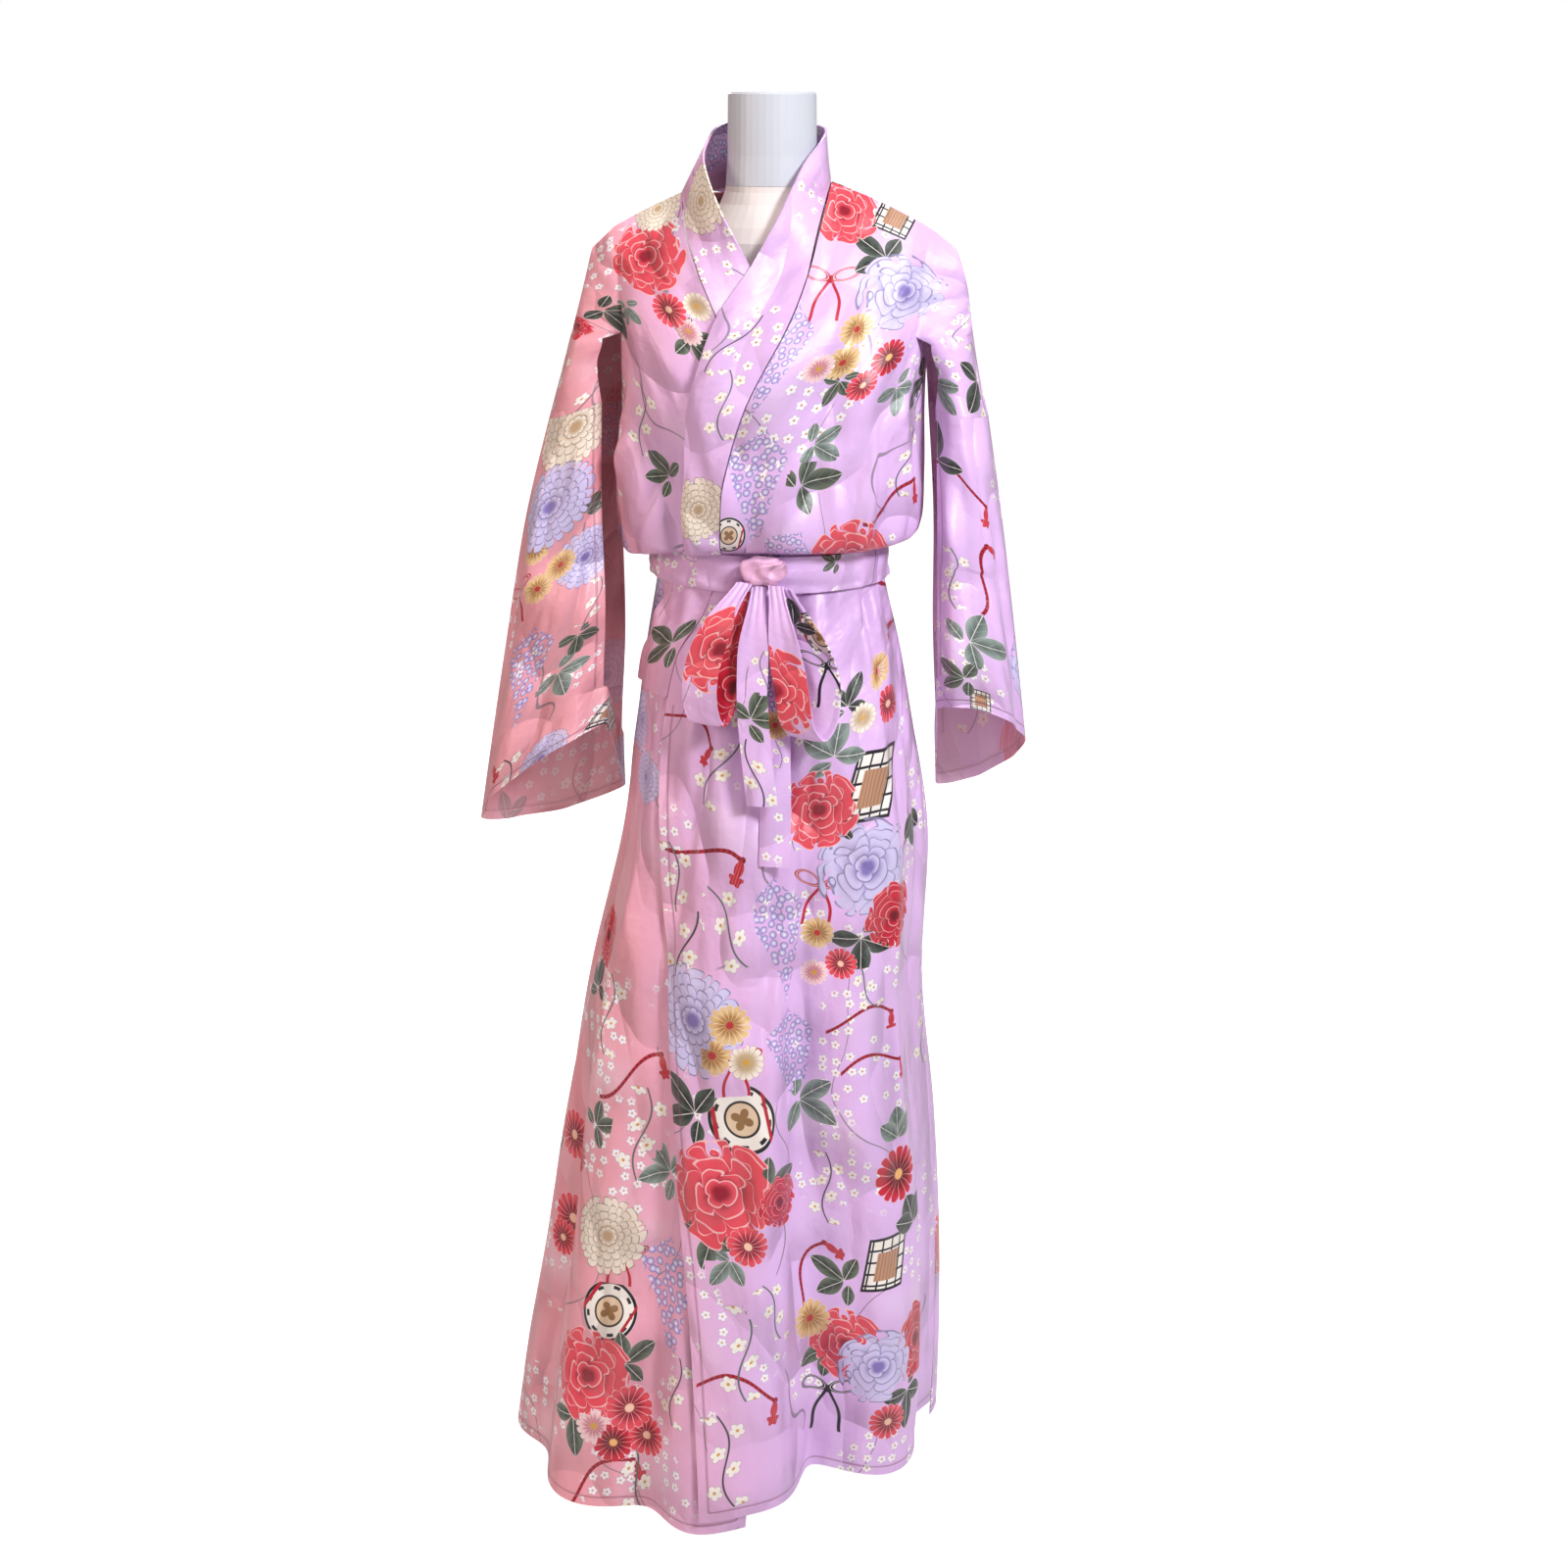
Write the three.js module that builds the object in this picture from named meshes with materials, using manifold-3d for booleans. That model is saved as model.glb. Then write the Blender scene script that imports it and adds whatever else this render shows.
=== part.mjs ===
// A full-length kimono robe, tied with its own sash, on a limbless dress form with a round stand.
// Millimetres, +Z up. The robe faces -Y, and the wearer's right is -X.
// The origin is the centre of the underside of the stand's base.

import * as THREE from 'three';
import Module from 'manifold-3d';
import { mergeVertices } from 'three/addons/utils/BufferGeometryUtils.js';

const wasm = await Module();
wasm.setup();

// ---------------------------------------------------------------- driving dimensions

const CLOTH = 2; // wall of every cut piece
const BAND_WALL = 2.6; // doubled cloth of the collar band and the sash
const SEAM_GAP = 0.3; // between two pieces at a flat seam
const RIDGE_GAP = 1.8; // between the middles of two walls that meet on a round ridge
const DROP_GAP = 1.2; // between a shoulder drop and its sleeve, whose walls lean differently
const COLLAR_GAP = 3.5; // between the middle of a front's edge and the collar band that stands up from it
const OVERLAP_LIFT = 6; // how far the over front stands outside the under front
const SASH_LIFT = 9.8; // how far the sash stands outside the under front

const SASH_DROP = 0.4; // how far the sash reaches below and above its two sections, as a share of a level
const SASH_TUCK = 0.34;

const NECK_RADIUS = 46;
const NECK_TOP = 1595;
const NECK_FOOT = 1503.3;
const BASE_RADIUS = 150;
const BASE_HEIGHT = 10;
const BASE_EDGE = 2.5; // rounding of the base's rim
const POLE_RADIUS = 14;

const SIDE = 90; // degrees round the body from the front centre to the side seam
const CREASE = 68; // where the sleeve's drop folds away from the body
const DROP_STEPS = 5; // columns from that crease to the ridge of the sleeve
const SLIT = 140; // half angle of a sleeve's wall above its open inner slit
const INNER_BULGE = 1.02; // how far a closed inner side stands past the edges of the slit

// The body of the robe, one row for each section from the hem to the shoulder line. mid, sideR and sideL
// are heights at the middle and at the wearer's right and left; nape lifts the middle of the back. right,
// left, front and back are half sizes round the centre at x, y. down is the share of a lift off the cloth
// that goes downward, where the cloth faces the floor. overSeam and underSeam are where each front meets
// the collar band, or its own free edge below the band. overEdge and underEdge are the band's free edges.
const BODY = columns(
  'name         mid  sideR sideL nape right left front back   x    y  down overSeam overEdge underSeam underEdge',
  [
    ['hem', 12, 12, 12, 0, 250, 252, 232, 262, -45, -70, 0, -41, -100, 10, 60],
    ['shin', 130, 130, 130, 0, 242, 246, 220, 250, -38, -62, 0, -46, -105, 15, 64],
    ['calf', 270, 270, 270, 0, 228, 234, 205, 232, -29, -50, 0, -56, -110, 22, 70],
    ['knee', 430, 430, 430, 0, 216, 216, 190, 208, -21, -36, 0, -74, -120, 32, 78],
    ['thigh', 600, 600, 600, 0, 196, 192, 175, 186, -14, -23, 0, -91, -130, 40, 84],
    ['hip', 780, 780, 780, 0, 168, 184, 162, 160, -2, -12, 0, -102, -145, 48, 90],
    ['bandEnd', 905, 905, 905, 0, 156, 164, 146, 142, 0, -6, 0, -103, -147, 54, 96],
    ['belly', 1000, 1000, 1000, 0, 144, 146, 128, 122, 0, -2, 0, -90, -138, 56, 98],
    ['underSash', 1070, 1070, 1070, 0, 132, 128, 108, 104, 0, 0, 0, -56, -108, 54, 98],
    ['sashFoot', 1100, 1100, 1100, 0, 128, 124, 103, 99, 0, 0, 0, -44, -94, 52, 96],
    ['sashHead', 1140, 1140, 1140, 0, 127, 123, 102, 98, 0, 0, 0, -39, -84, 48, 92],
    ['tuck', 1153, 1151, 1153, 0, 136, 132, 108, 104, 0, 0, 1, -38, -82, 47, 90],
    ['pouchFoot', 1141, 1112, 1136, 0, 158, 154, 121, 114, 0, 0, 0.9, -37, -81, 46, 89],
    ['pouch', 1158, 1124, 1150, 0, 170, 166, 132, 120, 0, 0, 0.3, -36, -79, 44, 88],
    ['ribs', 1215, 1200, 1205, 0, 168, 168, 140, 118, 0, 0, 0, -29, -73, 36, 84],
    ['bust', 1290, 1280, 1280, 0, 164, 166, 142, 112, 0, 0, 0, -7, -66, 8, 66],
    ['armpit', 1372, 1352, 1352, 4, 166, 168, 128, 102, 0, 0, 0, 33, -42, -36, 30],
    ['chest', 1425, 1388, 1388, 12, 171, 172, 96, 88, 0, 0, 0, 49, -9, -64, -8],
    ['collarbone', 1470, 1418, 1418, 26, 177, 176, 58, 66, 0, 0, -0.4, 57, 20, -84, -30],
    ['shoulderSlope', 1500, 1440, 1440, 10, 181, 179, 26, 32, 0, 0, -0.7, 61, 40, -92, -45],
    ['shoulderLine', 1518, 1452, 1452, 0, 184, 182, 4, 4, 0, 0, -1, 63, 50, -96, -50],
  ],
);
const LEVEL = Object.fromEntries(BODY.map((row, index) => [row.name, index]));
const TOP = BODY.length - 1;

// Folds of the skirt. Angles are degrees round the body, at the fold's head and at the hem. depth is how
// far the fold stands out (or in, when negative) at the hem; share is how much of it is left at its head.
const SKIRT_FOLDS = columns(
  'name        headAngle hemAngle width  depth  head  share',
  [
    ['overNotch', 14, 38, 11, -62, 1000, 0.1],
    ['overLobe', 40, 58, 14, 16, 900, 0.2],
    ['overCrest', -12, -2, 13, 22, 820, 0.1],
    ['edgeValley', -34, -15, 9, -20, 900, 0.2],
    ['underCrest', -48, -38, 15, 34, 900, 0.1],
    ['underValley', -66, -56, 9, -14, 800, 0.1],
    ['rightLobe', -78, -70, 14, 24, 850, 0.1],
    ['leftValley', 72, 80, 9, -16, 850, 0.1],
    ['leftLobe', 98, 98, 13, 14, 850, 0.1],
    ['backOne', 122, 118, 10, -20, 950, 0.1],
    ['backTwo', 142, 138, 10, 18, 950, 0.1],
    ['backThree', 160, 158, 9, -18, 950, 0.1],
    ['backFour', -178, -178, 12, 20, 950, 0.1],
    ['backFive', -158, -156, 9, -18, 950, 0.1],
    ['backSix', -138, -136, 10, 18, 950, 0.1],
    ['backSeven', -116, -114, 11, -20, 950, 0.1],
  ],
);

// Folds of the blouse above the sash, deepest at their middle height.
const BLOUSE_FOLDS = columns(
  'name        angle  lean  width depth  foot  head',
  [
    ['rightDiagonal', -44, -30, 8, 9, 1125, 1300],
    ['rightHollow', -28, -10, 7, -7, 1125, 1290],
    ['centreFold', 22, 6, 6, -7, 1140, 1330],
    ['leftFold', 40, 4, 6, 8, 1130, 1310],
    ['leftHollow', 54, 2, 7, -8, 1125, 1290],
    ['backLeft', 150, 0, 10, 7, 1125, 1330],
    ['backRight', -150, 0, 10, 7, 1125, 1330],
    ['backMiddle', 180, 0, 10, -7, 1125, 1330],
  ],
);

// The ridge of the shoulder drop and sleeve on each side, from the shoulder to the cuff. ridgeX is how
// far the ridge stands from the middle of the body and z its height; width is to the inner edge, depth
// the half size from front to back round y, and backWidth the width of the back wall. curl is how far the
// wall turns in at the inner edge, in degrees. riseFront and riseBack lift the inner edge; lean drops the
// back wall and lifts the front one.
const DROP_RIGHT = columns(
  'name      ridgeX    z  width backWidth depth   y  curl riseFront riseBack lean',
  [
    ['tip', 196, 1437, 0, 0, 0, 0, 90, 0, 0, 0],
    ['shoulder', 207, 1396, 0, 0, 0, 0, 90, 0, 0, 0],
    ['upperArm', 219, 1352, 42, 62, 48, -2, 100, 0, 0, 0],
    ['underarm', 232, 1306, 48, 70, 50, -4, 118, 14, 10, 0],
    ['seam', 247, 1256, 65, 76, 54, -6, SLIT, 22, 12, 0],
  ],
);
const SLEEVE_RIGHT = columns(
  'name      ridgeX    z  width backWidth depth   y  curl riseFront riseBack lean',
  [
    ['seam', 247, 1256, 65, 76, 54, -6, SLIT, 22, 12, 0],
    ['elbow', 279, 1140, 95, 102, 58, -10, SLIT, 34, 18, 4],
    ['forearm', 308, 990, 127, 131, 64, -16, SLIT, 60, 30, 12],
    ['wrist', 330, 870, 146, 146, 68, -20, SLIT, 92, 42, 24],
    ['cuff', 346, 778, 162, 162, 70, -24, SLIT, 118, 56, 36],
  ],
);
const DROP_LEFT = columns(
  'name      ridgeX    z  width backWidth depth   y  curl riseFront riseBack lean',
  [
    ['tip', 196, 1440, 0, 0, 0, 0, 90, 0, 0, 0],
    ['shoulder', 208, 1402, 0, 0, 0, 0, 90, 0, 0, 0],
    ['upperArm', 216, 1352, 40, 58, 46, 0, 100, 0, 0, 0],
    ['underarm', 225, 1306, 42, 60, 48, 0, 118, 8, 6, 0],
    ['seam', 235, 1268, 54, 66, 52, 0, SLIT, 10, 6, 0],
  ],
);
const SLEEVE_LEFT = columns(
  'name      ridgeX    z  width backWidth depth   y  curl riseFront riseBack lean',
  [
    ['seam', 235, 1268, 54, 66, 52, 0, SLIT, 10, 6, 0],
    ['elbow', 254, 1160, 68, 76, 56, 0, SLIT, 12, -4, 4],
    ['forearm', 271, 1050, 82, 90, 60, -2, SLIT, 14, -18, 14],
    ['wrist', 284, 960, 92, 96, 64, -4, SLIT, 16, -34, 30],
    ['cuff', 292, 902, 98, 100, 66, -6, SLIT, 18, -46, 44],
  ],
);
const SLIT_FOOT_RIGHT = 0.8; // share of the sleeve's length, from its seam, where the inner slit ends
const SLIT_FOOT_LEFT = 0.8;

// Free edge of the collar band where it stands round the neck, from the left crossing round the back to
// the right one.
const NECK_EDGE = columns(
  'name            x    y     z',
  [
    ['leftBone', 19, -84, 1477],
    ['leftNeck', 39, -44, 1525],
    ['leftSide', 54, -4, 1550],
    ['leftBack', 54, 20, 1558],
    ['leftNape', 42, 46, 1562],
    ['nape', -2, 62, 1566],
    ['rightNape', -46, 46, 1566],
    ['rightBack', -62, 22, 1560],
    ['rightSide', -67, -5, 1548],
    ['rightNeck', -65, -45, 1528],
    ['rightBone', -41, -86, 1481],
  ],
);

// The back neckline: its level at the middle, and the back's columns from each crease to where it turns up.
const NAPE_LEVEL = LEVEL.collarbone + 0.1;
const BACK_COLUMNS = 18;
const NAPE_COLUMN = 7;

// The sash's tied ends: centre lines of the loops and tails, and the way each strip's width faces.
// clear is how far the middle of the strip stands in front of the over front.
const KNOT = { x: 8, y: -126.3, z: 1117, width: 50, height: 32, depth: 26 };
const LOOP_WIDTH = 40;
const TAIL_WIDTH = 34;
const LOOP_RIGHT = columns(
  'name       x     z  clear',
  [
    ['knotFront', 23, 1104.7, 33],
    ['front', 32, 1058, 46],
    ['lowFront', 44, 1000, 46],
    ['bottomFront', 52, 960, 42],
    ['bottom', 63, 947, 38],
    ['bottomBack', 74, 962, 30],
    ['lowBack', 74, 1006, 26],
    ['back', 56, 1056, 26],
    ['knotBack', 32, 1099, 22],
  ],
);
const LOOP_LEFT = columns(
  'name       x     z  clear',
  [
    ['knotFront', -11, 1105.7, 27],
    ['front', -34, 1070, 44],
    ['lowFront', -54, 1012, 44],
    ['bottomFront', -54, 974, 38],
    ['bottom', -47, 957, 30],
    ['bottomBack', -38, 970, 22],
    ['lowBack', -32, 1012, 16],
    ['back', -24, 1060, 15],
    ['knotBack', -14, 1094, 15],
  ],
);
const TAIL_FRONT = columns(
  'name       x     z  clear',
  [
    ['knot', 4, 1101.3, 22.5],
    ['high', 1, 1040, 28],
    ['middle', 3, 975, 28],
    ['low', 9, 920, 26],
    ['end', 15, 872, 25],
  ],
);
const TAIL_BACK = columns(
  'name       x     z  clear',
  [
    ['knot', 15, 1100.5, 16],
    ['high', 19, 1030, 16],
    ['middle', 24, 950, 16],
    ['low', 27, 870, 16],
    ['end', 28, 800, 17],
  ],
);
const LOOP_RIGHT_FACES = new THREE.Vector3(0.95, -0.31, 0);
const LOOP_LEFT_FACES = new THREE.Vector3(0.97, -0.24, 0);
const TAIL_FRONT_FACES = new THREE.Vector3(0.95, -0.1, 0);
const TAIL_BACK_FACES = new THREE.Vector3(0.98, -0.05, 0);

// The dress form's torso, half sizes at each height. mid and side are heights at the middle and at the sides.
// The last rows lie under the robe's shoulders and carry it.
const TORSO = columns(
  'name       mid side width front back',
  [
    ['foot', 800, 800, 124, 90, 90],
    ['seat', 822, 822, 142, 106, 106],
    ['hips', 910, 910, 146, 112, 112],
    ['belly', 1010, 1010, 124, 94, 94],
    ['waist', 1110, 1110, 100, 78, 76],
    ['ribs', 1200, 1195, 118, 96, 86],
    ['bust', 1290, 1280, 136, 114, 90],
    ['chest', 1372, 1350, 142, 98, 84],
    ['arm', 1420, 1386, 150, 76, 72],
    ['shoulder', 1460, 1420, 160, 44, 50],
    ['slope', 1478, 1450, 166, 24, 28],
    ['ridge', 1488, 1463.4, 158, 12, 14],
  ],
);
// The neck's foot on the torso: radius and height, from its top to where it sinks into the chest.
const NECK_FLARE = [[49, 1503], [50, 1497], [55, 1485], [62, 1475], [70, 1463], [77, 1448], [79, 1425]];

// ---------------------------------------------------------------- tables and curves

// One object for each row, with the columns named in the heading.
function columns(heading, rows) {
  const names = heading.trim().split(/\s+/);
  return rows.map((row) => Object.fromEntries(names.map((name, index) => [name, row[index]])));
}

// A row between two rows of a table, on a smooth curve through all of them.
function rowAt(table, place) {
  const last = table.length - 1;
  const from = Math.min(Math.max(Math.floor(place), 0), last - 1);
  const share = place - from;
  const near = [from - 1, from, from + 1, from + 2].map((i) => table[Math.min(Math.max(i, 0), last)]);
  const found = {};
  for (const name of Object.keys(table[0])) {
    if (name === 'name') continue;
    const [a, b, c, d] = near.map((row) => row[name]);
    const slopeB = (c - a) / 2;
    const slopeC = (d - b) / 2;
    found[name] = hermite(b, c, slopeB, slopeC, share);
  }
  return found;
}

function hermite(from, to, slopeFrom, slopeTo, share) {
  const s2 = share * share;
  const s3 = s2 * share;
  return (
    from * (2 * s3 - 3 * s2 + 1) +
    slopeFrom * (s3 - 2 * s2 + share) +
    to * (3 * s2 - 2 * s3) +
    slopeTo * (s3 - s2)
  );
}

const mix = (a, b, share) => a + (b - a) * share;
const clamp01 = (value) => Math.min(Math.max(value, 0), 1);
const smooth = (from, to, value) => {
  const share = clamp01((value - from) / (to - from));
  return share * share * (3 - 2 * share);
};
const radians = (degrees) => (degrees * Math.PI) / 180;
const degrees = (angle) => (angle * 180) / Math.PI;
const bell = (distance) => Math.exp(-distance * distance);
const turnBetween = (a, b) => ((((a - b) % 360) + 540) % 360) - 180;

// Evenly spaced numbers, both ends included.
const steps = (from, to, count) => Array.from({ length: count + 1 }, (_, i) => mix(from, to, i / count));

// ---------------------------------------------------------------- the body of the robe

function skirtLift(angle, height) {
  let lift = 0;
  for (const fold of SKIRT_FOLDS) {
    if (height > fold.head + 100) continue;
    const fall = clamp01((fold.head - height) / (fold.head - BODY[LEVEL.hem].mid));
    const strength = mix(fold.share, 1, fall) * (1 - smooth(fold.head, fold.head + 100, height));
    const at = mix(fold.headAngle, fold.hemAngle, fall);
    lift += fold.depth * strength * bell(turnBetween(angle, at) / fold.width);
  }
  return lift;
}

function blouseLift(angle, height) {
  let lift = 0;
  for (const fold of BLOUSE_FOLDS) {
    if (height < fold.foot || height > fold.head) continue;
    const up = (height - fold.foot) / (fold.head - fold.foot);
    const strength = Math.sin(Math.PI * up) ** 0.8;
    lift += fold.depth * strength * bell(turnBetween(angle, fold.angle + fold.lean * up) / fold.width);
  }
  return lift;
}

// A point of the robe's body at a level of the table and an angle in degrees from the front centre, moved
// out by lift.
function bodyPoint(level, angle, lift = 0) {
  const row = rowAt(BODY, level);
  const toLeft = Math.sin(radians(angle));
  const toFront = Math.cos(radians(angle));
  const half = toLeft >= 0 ? row.left : row.right;
  const deep = toFront >= 0 ? row.front : row.back;
  const sideHeight = toLeft >= 0 ? row.sideL : row.sideR;
  const folds = level < LEVEL.sashFoot ? skirtLift(angle, row.mid) : blouseLift(angle, row.mid);
  const out = (level < LEVEL.sashFoot || level > LEVEL.tuck ? folds : 0) + lift * (1 - Math.max(row.down, 0));
  const middle = row.mid + (toFront < 0 ? row.nape * toFront * toFront : 0);
  return new THREE.Vector3(
    row.x + (half + out) * toLeft,
    row.y - (deep + out) * toFront,
    mix(middle, sideHeight, Math.abs(toLeft) ** 1.6) - lift * row.down,
  );
}

// The angle of a front's point that lies at a given x.
function angleAt(level, x) {
  const row = rowAt(BODY, level);
  const half = x >= row.x ? row.left : row.right;
  return degrees(Math.asin(Math.min(Math.max((x - row.x) / half, -0.98), 0.98)));
}

// The over front lies outside the under front, and comes back to the body at its side seam and at the
// shoulder.
const overLift = (angle, level) =>
  OVERLAP_LIFT * (1 - smooth(48, SIDE - 2, angle)) * (1 - smooth(LEVEL.chest, LEVEL.collarbone + 0.6, level));

// The level below the sash whose middle is at a given height.
function levelAt(height) {
  let [low, high] = [LEVEL.hem, LEVEL.sashHead];
  while (high - low > 0.001) {
    const middle = (low + high) / 2;
    if (rowAt(BODY, middle).mid < height) low = middle;
    else high = middle;
  }
  return low;
}

// ---------------------------------------------------------------- solids

// A closed wall round a sheet of quads. Quads are welded where their corners meet, so patches that share
// an edge join.
function wallSolid(quads, thickness) {
  const places = [];
  const lookup = new Map();
  const indexOf = (point) => {
    const key = [point.x, point.y, point.z].map((value) => Math.round(value * 100)).join();
    if (!lookup.has(key)) {
      lookup.set(key, places.length);
      places.push(point);
    }
    return lookup.get(key);
  };
  const faces = [];
  for (const quad of quads) {
    const [a, b, c, d] = quad.map(indexOf);
    for (const face of [[a, b, c], [a, c, d]]) {
      if (new Set(face).size === 3) faces.push(face);
    }
  }
  const normals = places.map(() => new THREE.Vector3());
  for (const [a, b, c] of faces) {
    const normal = new THREE.Vector3()
      .subVectors(places[b], places[a])
      .cross(new THREE.Vector3().subVectors(places[c], places[a]))
      .normalize();
    for (const i of [a, b, c]) normals[i].add(normal);
  }
  const outer = places.map((p, i) => p.clone().addScaledVector(normals[i].normalize(), thickness / 2));
  const inner = places.map((p, i) => p.clone().addScaledVector(normals[i], -thickness / 2));
  const count = places.length;
  const triangles = [];
  const open = new Map();
  for (const [a, b, c] of faces) {
    triangles.push([a, b, c], [count + a, count + c, count + b]);
    for (const [from, to] of [[a, b], [b, c], [c, a]]) {
      if (!open.delete(`${to},${from}`)) open.set(`${from},${to}`, [from, to]);
    }
  }
  for (const [from, to] of open.values()) {
    triangles.push([to, from, count + from], [to, count + from, count + to]);
  }
  return solidOf([...outer, ...inner], triangles);
}

function solidOf(points, triangles) {
  const geometry = new THREE.BufferGeometry();
  const places = points.flatMap((point) => [point.x, point.y, point.z]);
  geometry.setAttribute('position', new THREE.Float32BufferAttribute(places, 3));
  geometry.setIndex(triangles.flat());
  geometry.computeVertexNormals();
  return geometry;
}

// Quads between the rows of a grid of points. Rows run up and columns run to the right seen from outside.
function gridQuads(rows, keep = () => true) {
  const quads = [];
  for (let r = 0; r + 1 < rows.length; r += 1) {
    for (let c = 0; c + 1 < rows[r].length; c += 1) {
      if (keep(r, c)) quads.push([rows[r][c], rows[r][c + 1], rows[r + 1][c + 1], rows[r + 1][c]]);
    }
  }
  return quads;
}

// ---------------------------------------------------------------- shoulder drops and sleeves

// A point of a drop or sleeve: turn 0 is its ridge, 90 its front, -90 its back and 180 its inner side.
// hand is 1 for the wearer's left and -1 for the right.
function sleevePoint(row, turn, hand) {
  const inward = Math.min((1 - Math.cos(radians(turn))) / (1 - Math.cos(radians(row.curl))), INNER_BULGE);
  const forward = Math.sin(radians(turn));
  const width = mix(row.backWidth, row.width, smooth(-0.6, 0.6, forward));
  const rise = forward >= 0 ? row.riseFront : row.riseBack;
  const rounded = mix(mix(row.riseFront, row.riseBack, 0.5), rise, Math.min(1, Math.abs(forward) * 1.6));
  return new THREE.Vector3(
    hand * (row.ridgeX - width * inward),
    row.y - row.depth * forward,
    row.z + rounded * inward + row.lean * forward,
  );
}

// Rows of a drop from its seam up to the shoulder, each from the inner edge to the ridge (or back again
// for the back). Above the armpit the inner edge is the crease of the body, so both join there.
function dropRows(table, hand, facing, creaseLevels) {
  const rows = [];
  const free = table.length - 3; // rows of the table that hang clear of the body
  const hanging = steps(table.length - 1, free, 4).slice(0, -1);
  for (const place of hanging) rows.push(dropRow(rowAt(table, place), hand, facing));
  creaseLevels.forEach((level, index) => {
    const place = mix(free, 0, index / (creaseLevels.length - 1));
    const row = rowAt(table, place);
    const creaseAngle = facing > 0 ? hand * CREASE : hand * (180 - CREASE);
    const crease = bodyPoint(level, creaseAngle, creaseLift(level, hand, facing));
    if (level === TOP) crease.y -= (facing * RIDGE_GAP) / 2;
    row.width = row.ridgeX - Math.abs(crease.x);
    row.backWidth = row.width;
    row.depth = Math.abs(crease.y - row.y);
    row.curl = 90;
    row.riseFront = crease.z - row.z;
    row.riseBack = row.riseFront;
    row.lean = 0;
    const points = dropRow(row, hand, facing);
    points[0] = crease;
    rows.push(points);
  });
  return rows;
}

function dropRow(row, hand, facing) {
  const seamTurn = degrees(Math.asin(RIDGE_GAP / 2 / Math.max(row.depth, RIDGE_GAP)));
  return steps(row.curl, seamTurn, DROP_STEPS).map((turn) => sleevePoint(row, facing * turn, hand));
}

const creaseLift = (level, hand, facing) => (hand > 0 && facing > 0 ? overLift(CREASE, level) : 0);

const towardFree = (rows) => rows.map((row) => [...row].reverse());

// ---------------------------------------------------------------- the cut pieces

// The band's pieces share these rows with the panels that they are sewn to, so their seams run alike.
const BAND_END = LEVEL.bandEnd + 0.62;
const LOW_LEVELS = [
  ...steps(LEVEL.hem, BAND_END, 9),
  ...steps(BAND_END, LEVEL.sashFoot, 4).slice(1),
  ...steps(LEVEL.sashFoot, LEVEL.tuck, 2).slice(1),
  ...steps(LEVEL.tuck, LEVEL.pouch, 4).slice(1),
  ...steps(LEVEL.pouch, LEVEL.armpit, 5).slice(1),
];
const HIGH_LEVELS = steps(LEVEL.armpit, TOP, 8);
const SEAM_ANGLE = degrees(SEAM_GAP / 2 / BODY[LEVEL.sashHead].front);

// A front from its band seam or free edge to the side seam, with its shoulder drop.
// hand is 1 for the left (over) front and -1 for the right (under) front.
function front(hand, dropTable, seamName, hemRise) {
  const liftAt = (angle, level) => (hand > 0 ? overLift(angle, level) : 0);
  const rowFor = (level, end, count) => {
    const seam = rowAt(BODY, level)[seamName];
    const start = angleAt(level, seam) + hand * SEAM_ANGLE;
    return steps(start, hand * end, count).map((angle) => {
      const point = bodyPoint(level, angle, liftAt(angle, level));
      if (level === TOP) point.y -= RIDGE_GAP / 2;
      point.z += hemRise * (1 - smooth(LEVEL.hem, LEVEL.shin, level));
      return point;
    });
  };
  const across = 17;
  const sideSteps = 3;
  const rowTo = (level, withSide) => {
    const middle = rowFor(level, CREASE, across);
    if (!withSide) return middle;
    const side = steps(CREASE, SIDE - SEAM_ANGLE, sideSteps).map((angle) => {
      const point = bodyPoint(level, hand * angle, liftAt(hand * angle, level));
      point.z += hemRise * (1 - smooth(LEVEL.hem, LEVEL.shin, level));
      return point;
    });
    return [...middle, ...side.slice(1)];
  };
  const low = LOW_LEVELS.map((level) => rowTo(level, true));
  const high = HIGH_LEVELS.map((level) => rowTo(level, false));
  const drop = dropRows(dropTable, hand, 1, HIGH_LEVELS);
  if (hand > 0) return wallSolid([...gridQuads(low), ...gridQuads(high), ...gridQuads(drop)], CLOTH);
  return wallSolid(
    [...gridQuads(towardFree(low)), ...gridQuads(towardFree(high)), ...gridQuads(towardFree(drop))],
    CLOTH,
  );
}

// The angle of the back neckline where it climbs to the shoulder line, on the wearer's left (hand 1) or
// right (-1).
function neckAngle(level, hand) {
  const top = rowAt(BODY, TOP);
  const foot = CREASE * (1 - (2 * NAPE_COLUMN) / BACK_COLUMNS);
  const head = degrees(Math.asin(hand > 0 ? top.overSeam / top.left : -top.underSeam / top.right));
  return 180 - hand * mix(foot, head, (level - NAPE_LEVEL) / (TOP - NAPE_LEVEL));
}

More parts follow.
